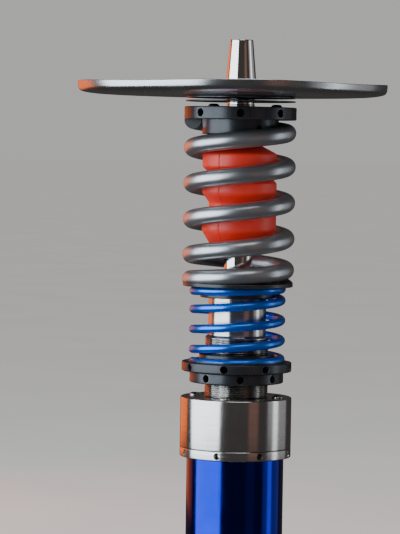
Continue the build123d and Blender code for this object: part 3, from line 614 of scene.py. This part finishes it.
def make_circle_tree(name, cutting):
    """Copies of a pattern piece evenly round the axis: laid as pieces, or cut out of the given mesh."""
    inputs = [
        ("Geometry", "NodeSocketGeometry", None),
        ("Pattern", "NodeSocketObject", None),
        ("Count", "NodeSocketInt", 8),
        ("Circle Radius", "NodeSocketFloat", 0.03),
        ("Start Angle", "NodeSocketFloat", 0.0),
        ("Height", "NodeSocketFloat", 0.0),
        ("Material", "NodeSocketMaterial", None),
    ]
    graph, given, result = open_group(name, "GeometryNodeTree", inputs, [("Geometry", "NodeSocketGeometry")])
    value = given.outputs
    ring = graph.node("GeometryNodePoints", {"Count": value["Count"]})
    step = graph.math("DIVIDE", 2 * pi, value["Count"])
    order = graph.node("GeometryNodeInputIndex").outputs[0]
    angle = graph.plus(graph.times(order, step), value["Start Angle"])
    x = graph.times(graph.math("COSINE", angle), value["Circle Radius"])
    y = graph.times(graph.math("SINE", angle), value["Circle Radius"])
    spot = graph.vector(x, y, value["Height"])
    spread = graph.node("GeometryNodeSetPosition", {"Geometry": ring.outputs[0], "Position": spot})
    pattern = graph.node("GeometryNodeObjectInfo", {"Object": value["Pattern"], "As Instance": True})
    copies = graph.node("GeometryNodeInstanceOnPoints", {"Points": spread.outputs[0]})
    graph.feed(copies.inputs["Instance"], pattern.outputs["Geometry"])
    graph.feed(copies.inputs["Rotation"], graph.vector(0.0, 0.0, angle))
    real = graph.node("GeometryNodeRealizeInstances", {"Geometry": copies.outputs[0]})
    finished = real.outputs[0]
    if cutting:
        cut = graph.node("GeometryNodeMeshBoolean", operation="DIFFERENCE", solver="EXACT")
        graph.feed(cut.inputs["Mesh 1"], value["Geometry"])
        graph.feed(cut.inputs["Mesh 2"], finished)
        finished = cut.outputs["Mesh"]
    finish_tree(graph, finished, value, result)
    return graph.tree


COIL = make_coil_tree()
ROUND_THE_AXIS = make_circle_tree("copies_round_the_axis", cutting=False)
HOLES_ROUND_THE_AXIS = make_circle_tree("holes_round_the_axis", cutting=True)


def pattern_object(name, mesh):
    """A pattern piece for the geometry trees, taken away again after its last use."""
    made = bpy.data.objects.new(name, mesh)
    bpy.context.scene.collection.objects.link(made)
    return made


def drilled(name, mesh, finish, radius, height, hole, depth, count=8, start=FRONT, flare=0.5):
    """Cuts evenly spaced radial holes, each with a small countersink, into a turned mesh."""
    bore = [
        (0.0, radius - depth, 0.0),
        (hole, radius - depth, 0.0),
        (hole, radius - flare - 0.3, 0.0),
        (hole + flare, radius + 0.1, 0.0),
        (hole + flare + 2.0, radius + 3.0, 0.0),
        (0.0, radius + 3.0, 0.0),
    ]
    cutter_mesh = turned("hole_cutter", bore, segments=40)
    cutter_mesh.transform(Matrix.Rotation(pi / 2, 4, "Y"))
    cutter = pattern_object("hole_cutter", cutter_mesh)
    cut = run_tree(
        name, HOLES_ROUND_THE_AXIS, mesh, Pattern=cutter, Count=count, Circle_Radius=0.0,
        Start_Angle=radians(start), Height=height * MM, Material=FINISH[finish],
    )
    bpy.data.objects.remove(cutter)
    clean(cut)
    smooth_faces(cut)
    return cut


# ------------------------------------------------------------------ foot and vessel
def make_foot():
    """Rubber pad, heavy disc and the blue vessel standing on it."""
    pad = [(0.0, 0.0, 0.0), (79.9, 0.0, 0.8), (79.9, 3.0, 0.6), (0.0, 3.0, 0.0)]
    add_piece("pad_under_foot", turned("pad_under_foot", pad), "rubber_black", "column", "foot_pad")
    disc = [(0.0, 3.0, 0.0), (84.9, 3.0, 1.2), (84.9, 15.0, 4.5), (0.0, 15.0, 0.0)]
    add_piece("foot_disc", turned("foot_disc", disc, 256), "steel_satin", "column", "foot_plate")
    tube_low, tube_high = span("vessel_tube")
    wall = box_outline(35.0, 38.0, tube_low, tube_high, corner=0.6)
    add_piece("blue_vessel", turned("blue_vessel", wall, 256), "anodised_blue", "column", "vessel_tube")


# ------------------------------------------------------------------ base collar
def make_base_collar():
    """Clamp ring, and the collar with its hose hole and the purge valve's well."""
    ring_low = low("clamp_ring") / MM
    seam, top = span("base_collar")
    outside, roof, well_depth, ball_hole, well_wall = 43.5, top - 10.0, 6.0, 1.6, 3.4
    ring = [
        (38.2, ring_low, 0.4),
        (outside, ring_low, 0.8),
        (outside, seam, 0.8),
        (40.4, seam, 0.1),
        (40.4, seam + 3.7, 0.2),
        (38.2, seam + 3.7, 0.2),
    ]
    holed = drilled("clamp_ring_body", turned("clamp_ring_blank", ring, 256), "steel_polished", outside,
                    ring_low + 3.65, 2.4, 5.2, start=FRONT + 26.0, flare=0.35)
    add_piece("clamp_ring_body", holed, "steel_polished", "column", "clamp_ring")
    shell = [
        (40.5, seam, 0.3),
        (outside, seam, 0.8),
        (outside, top, 1.1),
        (25.1, top, 0.5),
        (25.1, roof, 0.2),
        (36.5, roof, 0.2),
        (36.5, seam + 8.2, 0.2),
        (38.2, seam + 8.2, 0.2),
        (38.2, seam + 6.7, 0.2),
        (40.5, seam + 6.7, 0.2),
    ]
    holed = drilled("collar_body", turned("collar_blank", shell, 256), "steel_brushed", 42.0,
                    250.0, 7.1, 12.0, count=1, start=90.0, flare=5.4)
    drill = [
        (0.0, -well_depth, 0.0),
        (ball_hole, -well_depth, 0.0),
        (ball_hole, 0.0, 0.0),
        (well_wall, 0.0, 0.0),
        (well_wall, 9.0, 0.0),
        (0.0, 9.0, 0.0),
    ]
    cutter = pattern_object("well_cutter", turned("well_cutter", drill, segments=40))
    body = run_tree(
        "collar_body", HOLES_ROUND_THE_AXIS, holed, Pattern=cutter, Count=1, Circle_Radius=34.2 * MM,
        Start_Angle=radians(120.0), Height=(top - well_depth) * MM, Material=FINISH["steel_brushed"],
    )
    bpy.data.objects.remove(cutter)
    clean(body)
    smooth_faces(body)
    add_piece("collar_body", body, "steel_brushed", "column", "base_collar")


def cap_screw_pattern(length):
    """A button-head cap screw with its head's underside at the origin and a hexagon socket."""
    head = [
        (0.0, -length, 0.0),
        (1.95, -length, 0.3),
        (1.95, 0.0, 0.0),
        (4.3, 0.0, 0.25),
        (4.3, 0.7, 0.4),
        (3.3, 1.85, 1.2),
        (2.0, 2.15, 0.3),
        (0.0, 2.15, 0.0),
    ]
    mesh = turned("cap_screw", head, segments=48)
    socket = bmesh.new()
    across = 1.45 * MM
    bmesh.ops.create_cone(socket, cap_ends=True, segments=6, radius1=across, radius2=across, depth=3.0 * MM)
    bmesh.ops.translate(socket, verts=socket.verts, vec=(0.0, 0.0, 2.2 * MM))
    cutter_mesh = bpy.data.meshes.new("hexagon")
    socket.to_mesh(cutter_mesh)
    socket.free()
    blank = pattern_object("cap_screw_blank", mesh)
    cutter = pattern_object("hexagon", cutter_mesh)
    cut = blank.modifiers.new("socket", "BOOLEAN")
    cut.object, cut.operation, cut.solver = cutter, "DIFFERENCE", "EXACT"
    bpy.context.view_layer.update()
    graph = bpy.context.evaluated_depsgraph_get()
    made = bpy.data.meshes.new_from_object(blank.evaluated_get(graph), depsgraph=graph)
    bpy.data.objects.remove(blank)
    bpy.data.objects.remove(cutter)
    clean(made)
    smooth_faces(made, 28.0)
    return made


def make_screws():
    """The two circles of cap screws."""
    circles = [
        ("collar_cap_screws", "base_collar", "screw_steel", "column", 4, 33.5, FRONT - 15.0, 14.0),
        ("top_cap_screws", "top_collar", "screw_black", "head", 3, 29.0, FRONT - 45.6, 9.0),
    ]
    for name, under, finish, body, count, circle, start, length in circles:
        pattern = pattern_object("cap_screw", cap_screw_pattern(length))
        mesh = run_tree(
            name, ROUND_THE_AXIS, Pattern=pattern, Count=count, Circle_Radius=circle * MM,
            Start_Angle=radians(start), Height=high(under), Material=FINISH[finish],
        )
        bpy.data.objects.remove(pattern)
        add_piece(name, mesh, finish, body, under + "_screws")


def make_hose_socket():
    """Turned hose socket at the back, and the purge valve's cap."""
    face = 42.0
    outline = [
        (5.5, face - 5.1, 0.2),
        (7.0, face - 5.1, 0.4),
        (7.0, face + 1.2, 0.0),
        (12.0, face + 1.2, 0.4),
        (12.0, face + 5.2, 0.5),
        (10.0, face + 5.2, 0.5),
        (9.4, face + 9.0, 1.0),
        (9.4, face + 20.0, 1.0),
        (11.2, face + 22.6, 1.0),
        (11.2, face + 27.2, 1.2),
        (7.0, face + 27.2, 0.6),
        (7.0, face + 7.2, 0.2),
        (5.5, face + 7.2, 0.2),
    ]
    to_back = Matrix.Translation((0.0, 0.0, 0.25)) @ Matrix.Rotation(-pi / 2, 4, "X")
    mesh = turned("hose_barrel", outline, 128)
    mesh.transform(to_back)
    add_piece("hose_barrel", mesh, "steel_polished", "column", "hose_socket")
    cap_low = low("purge_cap") / MM
    middle = (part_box("purge_cap")[0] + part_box("purge_cap")[1]) / 2
    cap = [
        (3.6, cap_low, 0.2),
        (5.75, cap_low, 0.3),
        (5.75, cap_low + 1.4, 0.3),
        (5.2, cap_low + 1.8, 0.2),
        (5.75, cap_low + 2.2, 0.3),
        (5.75, cap_low + 4.98, 1.1),
        (1.0, cap_low + 4.98, 0.3),
        (1.0, cap_low + 3.2, 0.2),
        (3.6, cap_low + 3.2, 0.2),
    ]
    mesh = turned("purge_cap_body", cap, 96)
    mesh.transform(Matrix.Translation((middle.x, middle.y, 0.0)))
    add_piece("purge_cap_body", mesh, "steel_polished", "column", "purge_cap")


# ------------------------------------------------------------------ threaded body
def make_threaded_body():
    """Sleeve with a right-handed helical thread below and a polished barrel above."""
    pitch, crest, depth, segments, rows_per_turn = 1.5, 24.98, 0.82, 240, 8
    bore, barrel, flange, flange_top = 19.5, 22.5, 36.2, low("threaded_sleeve") / MM + 6.0
    bottom, barrel_end = span("threaded_sleeve")
    start, thread_end = high("base_collar") / MM - 3.0, high("base_collar") / MM + 48.0
    rows = int((thread_end - 1.0 - start) / pitch * rows_per_turn)
    outer = [start + row * pitch / rows_per_turn for row in range(rows + 1)]
    below = [(bore, bottom), (flange, bottom), (flange, flange_top), (24.9, flange_top)]
    above = [(24.0, thread_end - 0.9), (23.2, thread_end), (barrel, thread_end + 0.3),
             (barrel, barrel_end - 0.5), (barrel - 0.5, barrel_end), (bore, barrel_end)]
    vertices = []
    for segment in range(segments):
        turn = 2 * pi * segment / segments
        column = list(below)
        for z in outer:
            phase = (z / pitch - segment / segments) % 1.0
            flank = abs(2.0 * phase - 1.0)
            groove = min(1.0, max(0.0, 1.25 * flank - 0.1))
            fade = min(1.0, (z - start) / pitch, (outer[-1] - z) / pitch)
            column.append((crest - depth * groove * max(0.0, fade), z))
        column += above
        vertices += [(r * MM * cos(turn), r * MM * sin(turn), z * MM) for r, z in column]
    mesh = bpy.data.meshes.new("sleeve_body")
    mesh.from_pydata(vertices, [], wrap_faces(segments, len(column)))
    clean(mesh)
    smooth_faces(mesh, 40.0)
    add_piece("sleeve_body", mesh, "steel_polished", "column", "threaded_sleeve")


# ------------------------------------------------------------------ adjuster rings
def make_adjuster_rings():
    """Lock ring, seat ring with its spring boss, and the slip ring."""
    bottom, top = span("lock_ring")
    blank = turned("lock_blank", box_outline(25.06, 36.7, bottom, top, 1.1, 0.6), 256)
    mesh = drilled("lock_ring_body", blank, "anodised_black", 36.7, (bottom + top) / 2, 2.75, 9.0,
                   start=FRONT - 40.0)
    add_piece("lock_ring_body", mesh, "anodised_black", "lock_ring", "lock_ring")
    bottom, top = span("seat_ring")
    shoulder = bottom + 7.3
    outline = [
        (25.06, bottom, 0.6),
        (43.0, bottom, 1.1),
        (43.0, shoulder, 0.9),
        (29.4, shoulder, 0.3),
        (29.4, top, 0.9),
        (25.06, top, 0.6),
    ]
    mesh = drilled("seat_ring_body", turned("seat_blank", outline, 256), "anodised_black", 43.0,
                   (bottom + shoulder) / 2, 2.75, 9.0, start=FRONT - 13.0)
    add_piece("seat_ring_body", mesh, "anodised_black", "seat_ring", "seat_ring")
    bottom, top = span("slip_ring")
    mesh = turned("slip_ring_body", box_outline(29.7, 38.2, bottom, top, 0.3, 0.2), 192)
    add_piece("slip_ring_body", mesh, "anodised_black", "spring_seat", "slip_ring")


# ------------------------------------------------------------------ springs
def wind_spring(name, node, finish, lower_body, upper_body, mean, wire, turns, start, tip_sink,
                bottom_pitch, bottom_rest, bottom_ease, top_pitch, top_rest, top_ease, sections):
    """One coil spring between two bodies; every slice of wire moves as a whole as the spring shortens."""
    bottom, top = low(node), high(node)
    start_height = bottom - tip_sink[0] * MM
    rise = top + tip_sink[1] * MM - start_height
    fixed = bottom_pitch * (bottom_rest + bottom_ease / 2) + top_pitch * (top_rest + top_ease / 2)
    open_turns = turns - bottom_rest - top_rest - (bottom_ease + top_ease) / 2
    middle_pitch = (rise / MM - fixed) / open_turns
    mesh = run_tree(
        name, COIL, Mean_Radius=mean * MM, Wire_Radius=wire * MM, Turns=turns, Start_Angle=radians(start),
        Start_Height=start_height, Bottom_Pitch=bottom_pitch * MM, Middle_Pitch=middle_pitch * MM,
        Top_Pitch=top_pitch * MM, Bottom_Rest=bottom_rest, Bottom_Ease=bottom_ease, Top_Rest=top_rest,
        Top_Ease=top_ease, Bottom=bottom, Top=top, Sections=sections, Material=FINISH[finish],
    )
    lift = np.zeros(len(mesh.vertices), np.float32)
    mesh.attributes["lift"].data.foreach_get("value", lift)
    mesh.attributes.remove(mesh.attributes["lift"])
    smooth_faces(mesh, 50.0)
    piece = bpy.data.objects.new(name, mesh)
    bpy.context.scene.collection.objects.link(piece)
    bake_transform(piece, lower_body, upper_body, start=(0.0, 0.0, bottom), end=(0.0, 0.0, top))
    mesh.attributes["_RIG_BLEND"].data.foreach_set("value", lift)
    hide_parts(node)


def make_springs():
    """The heavy silver spring above and the light blue helper below it."""
    wind_spring(
        "silver_spring", "main_spring", "coat_silver", "divider", "head", mean=37.05, wire=6.7, turns=5.5,
        start=0.0, tip_sink=(3.35, -0.7), bottom_pitch=8.0, bottom_rest=0.0, bottom_ease=1.8,
        top_pitch=15.0, top_rest=0.0, top_ease=1.0, sections=700,
    )
    wind_spring(
        "blue_spring", "helper_spring", "coat_blue", "spring_seat", "divider", mean=34.35, wire=3.3,
        turns=4.9, start=180.0, tip_sink=(1.5, -0.9), bottom_pitch=4.3, bottom_rest=0.3, bottom_ease=0.5,
        top_pitch=2.0, top_rest=0.5, top_ease=0.8, sections=620,
    )


def make_divider():
    """The flanged ring that stacks one spring on the other."""
    bottom, top = span("spring_divider")
    flange = bottom + 8.8
    outline = [
        (25.6, bottom, 0.5),
        (29.4, bottom, 0.9),
        (29.4, flange, 0.3),
        (42.95, flange, 0.7),
        (42.95, flange + 3.1, 0.7),
        (29.9, flange + 3.1, 0.3),
        (29.9, top, 0.9),
        (25.6, top, 0.5),
    ]
    mesh = turned("divider_body", outline, 256)
    add_piece("divider_body", mesh, "anodised_black", "divider", "spring_divider")


# ------------------------------------------------------------------ rod, bump stop and top collar
def make_rod():
    """Chromed tube with a ring groove under the tray."""
    bottom, top = span("rod")
    groove = high("top_collar") / MM + 2.3
    outline = [
        (7.0, bottom, 0.3),
        (10.98, bottom, 0.5),
        (10.98, groove, 0.12),
        (10.5, groove, 0.0),
        (10.5, groove + 0.9, 0.0),
        (10.98, groove + 0.9, 0.12),
        (10.98, top, 0.4),
        (7.0, top, 0.3),
    ]
    add_piece("rod_body", turned("rod_body", outline, 192), "chrome_rod", "head", "rod")


def make_bump_stop():
    """Moulded three-lobed bump stop with a fine groove down each side where the mould's halves met."""
    bottom, top = span("bump_stop")
    lobe, waist = 29.1, 23.6
    outline = [
        (11.3, bottom, 0.6),
        (22.4, bottom, 1.6),
        (lobe, top - 67.0, 2.4),
        (lobe, top - 54.0, 2.0),
        (waist, top - 49.5, 2.2),
        (waist, top - 45.0, 2.2),
        (lobe, top - 38.0, 2.4),
        (lobe, top - 29.5, 1.5),
        (waist + 1.0, top - 25.5, 2.6),
        (waist + 1.0, top - 21.5, 2.6),
        (lobe, top - 17.6, 1.5),
        (lobe, top - 7.0, 1.8),
        (15.6, top, 1.2),
        (11.3, top, 0.6),
    ]
    mesh = turned("bump_stop_body", outline, 360)
    seam_turns = (radians(FRONT - 33.0), radians(FRONT + 147.0))
    for vertex in mesh.vertices:
        radius = hypot(vertex.co.x, vertex.co.y)
        if radius < 12.0 * MM:
            continue
        turn = np.arctan2(vertex.co.y, vertex.co.x)
        nearest = min(abs((turn - seam + pi) % (2 * pi) - pi) for seam in seam_turns)
        groove = 0.4 * MM * max(0.0, 1.0 - nearest / radians(0.9))
        vertex.co.x *= (radius - groove) / radius
        vertex.co.y *= (radius - groove) / radius
    smooth_faces(mesh, 60.0)
    add_piece("bump_stop_body", mesh, "elastomer_red", "head", "bump_stop")


def make_top_collar():
    """Drilled top collar and the perch that centres the spring under it."""
    bottom, top = span("top_collar")
    outline = [
        (33.1, bottom, 0.2),
        (43.72, bottom, 0.9),
        (43.72, top, 0.9),
        (11.1, top, 0.4),
        (11.1, bottom + 4.0, 0.2),
        (33.1, bottom + 4.0, 0.2),
    ]
    mesh = drilled("top_collar_body", turned("top_collar_blank", outline, 256), "anodised_black", 43.72,
                   (bottom + top) / 2, 2.9, 9.0, start=FRONT)
    add_piece("top_collar_body", mesh, "anodised_black", "head", "top_collar")
    under = low("spring_perch") / MM
    outline = [
        (11.1, under, 0.3),
        (20.0, under, 0.6),
        (20.0, under + 5.7, 0.6),
        (29.9, under + 5.7, 1.0),
        (29.9, bottom, 0.3),
        (33.0, bottom, 0.2),
        (33.0, bottom + 4.0, 0.2),
        (11.1, bottom + 4.0, 0.3),
    ]
    mesh = drilled("perch_body", turned("perch_blank", outline, 192), "anodised_black", 29.9,
                   under + 9.5, 3.0, 18.0, count=3, start=60.0, flare=0.3)
    add_piece("perch_body", mesh, "anodised_black", "head", "spring_perch")


# ------------------------------------------------------------------ tray and its stack
def make_tray_stack():
    """The thin discs under the tray, the spacer between them and the mirror-polished spigot."""
    for name, node, inner, outer, finish, body in [
        ("drip_disc_body", "drip_disc", 7.3, 42.9, "anodised_black", "head"),
        ("spacer_body", "spacer_ring", 7.3, 10.8, "steel_polished", "head"),
        ("tray_plate_body", "tray_plate", 7.3, 42.4, "anodised_black", "head"),
        ("tray_gasket_body", "tray_gasket", 12.8, 41.5, "rubber_black", "tray_rest"),
    ]:
        outline = box_outline(inner, outer, *span(node), 0.3, 0.2)
        add_piece(name, turned(name, outline, 192), finish, body, node)
    seat, tip, stem = high("tray_plate") / MM, high("spigot") / MM, low("spigot") / MM
    outline = [
        (5.0, stem, 0.2),
        (6.95, stem, 0.3),
        (6.95, seat, 0.0),
        (12.3, seat, 0.3),
        (12.3, seat + 7.0, 1.0),
        (9.0, tip, 0.7),
        (5.0, tip, 0.7),
    ]
    add_piece("spigot_body", turned("spigot_body", outline, 192), "steel_mirror", "head", "spigot")


def make_tray():
    """Spun dish with a softly waved wall and a rolled rim."""
    bottom, top = span("tray")
    shift, lobes, lobe_turn, segments, wall = -6.3, 4, 7.0, 384, 1.5
    hub, wave_start, rim_radius, wave, dip = 12.8, 60.0, 118.5, 2.5, 0.7
    under = [(hub, 0.0), (30.0, 0.0), (50.0, 0.0), (66.0, 0.0), (80.0, 0.0), (94.0, 0.0), (100.0, 0.08),
             (105.0, 0.35), (109.4, 0.8), (112.8, 1.35), (115.2, 2.0), (116.8, 2.9), (117.6, 4.1),
             (118.0, 5.6), (118.2, 7.4), (118.3, 9.0)]
    points = [(r, z, 0.0) for r, z in under]
    points += [(118.3, 9.8, 0.0), (118.1, 10.15, 0.0), (117.6, 10.2, 0.0), (117.1, 9.9, 0.0)]
    for r, z in reversed(under[:-1]):
        points.append((r - wall * 0.8 * (r > 100.0), z + wall * (1.0 - 0.6 * (r > 115.0)), 0.0))
    mesh = turned("tray_dish", [(r, z + bottom, c) for r, z, c in points], segments)
    for vertex in mesh.vertices:
        radius = hypot(vertex.co.x, vertex.co.y) / MM
        turn = np.arctan2(vertex.co.y, vertex.co.x)
        swing = lobes * (turn - radians(lobe_turn))
        share = max(0.0, (radius - wave_start) / (rim_radius - wave_start))
        ease = share * share * (3.0 - 2.0 * min(share, 1.0))
        reach = radius + wave * ease * cos(swing)
        drop = dip * ease * (1.0 - cos(swing))
        off = shift * min(1.0, max(0.0, (radius - hub) / 40.0))
        height = vertex.co.z / MM - drop * max(0.0, (vertex.co.z / MM - bottom - 1.0) / (top - bottom))
        vertex.co = Vector((reach * cos(turn) + off, reach * sin(turn), height)) * MM
    smooth_faces(mesh, 45.0)
    add_piece("tray_dish", mesh, "tray_metal", "tray", "tray")


make_foot()
make_base_collar()
make_screws()
make_hose_socket()
make_threaded_body()
make_adjuster_rings()
make_springs()
make_divider()
make_rod()
make_bump_stop()
make_top_collar()
make_tray_stack()
make_tray()


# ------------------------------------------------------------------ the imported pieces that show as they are
def finish_packed_pieces():
    """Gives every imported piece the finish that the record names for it."""
    for row in frame["record"]["subparts"]:
        node = frame["nodes"][row["node"]]
        node.data.materials.clear()
        node.data.materials.append(FINISH[row["material_slot"]])


finish_packed_pieces()


# ------------------------------------------------------------------ floor and light
def make_floor():
    """A wide pale floor, seen by the camera and by the diffuse light but kept out of the metal's mirror."""
    material, graph, shader = start_material("pale_floor")
    place = graph.node("ShaderNodeTexCoord").outputs["Object"]
    cloud = graph.ramp(graph.noise(place, 3.0, Detail=8.0), 0.3, 0.7)
    clouded = blend_colour(graph, cloud, (0.79, 0.785, 0.775), (0.83, 0.825, 0.815))
    graph.give(shader, Base_Color=clouded, Roughness=1.0, Specular_IOR_Level=0.0)
    bpy.ops.mesh.primitive_plane_add(size=400.0)
    floor = bpy.context.object
    floor.name = "floor"
    floor.data.materials.append(material)
    floor.visible_glossy = False


def soft_box(name, bearing, distance, height, size, power, colour=(1.0, 1.0, 1.0)):
    """An area light standing at a bearing from the front, turned to the column."""
    data = bpy.data.lights.new(name, "AREA")
    data.shape = "RECTANGLE"
    data.size, data.size_y = size
    data.energy = power
    data.color = colour
    light = bpy.data.objects.new(name, data)
    bpy.context.scene.collection.objects.link(light)
    angle = radians(bearing)
    light.location = (distance * sin(angle), -distance * cos(angle), height)
    aim = Vector((0.0, 0.0, 0.36)) - light.location
    light.rotation_euler = aim.to_track_quat("-Z", "Y").to_euler()


def make_lights():
    """Tall soft boxes like a product table's, and a dim room that the metal can mirror."""
    soft_box("key", -68.0, 1.7, 0.62, (2.5, 1.8), 58.0, (0.86, 0.94, 1.0))
    soft_box("warm_edge", -140.0, 1.6, 0.42, (1.2, 0.84), 5.0, (1.0, 0.16, 0.012))
    soft_box("warm_card", 37.0, 2.2, 0.5, (0.8, 1.6), 0.6, (1.0, 0.42, 0.3))
    soft_box("right_card", 98.0, 2.2, 0.5, (2.4, 1.6), 3.4, (0.95, 0.95, 1.0))
    soft_box("right_strip", 90.0, 1.7, 0.5, (0.4, 1.6), 2.6, (0.95, 0.97, 1.0))
    soft_box("overhead", 10.0, 0.9, 2.0, (1.2, 1.2), 10.0)
    world = bpy.data.worlds.new("room")
    bpy.context.scene.world = world
    world.use_nodes = True
    graph = Graph(world.node_tree)
    world.node_tree.nodes.clear()
    rays = graph.node("ShaderNodeLightPath").outputs
    pale = (0.66, 0.65, 0.64, 1.0)
    glow = graph.node("ShaderNodeBackground", {"Color": pale, "Strength": 0.85}).outputs[0]
    room = graph.node("ShaderNodeBackground", {"Color": (0.5, 0.45, 0.43, 1.0), "Strength": 0.1}).outputs[0]
    wall = graph.node("ShaderNodeBackground", {"Color": pale, "Strength": 0.7}).outputs[0]
    lit = graph.node("ShaderNodeMixShader", {"Fac": rays["Is Glossy Ray"], 1: glow, 2: room}).outputs[0]
    seen = graph.node("ShaderNodeMixShader", {"Fac": rays["Is Camera Ray"], 1: lit, 2: wall})
    graph.node("ShaderNodeOutputWorld", {"Surface": seen.outputs[0]})


make_floor()
make_lights()
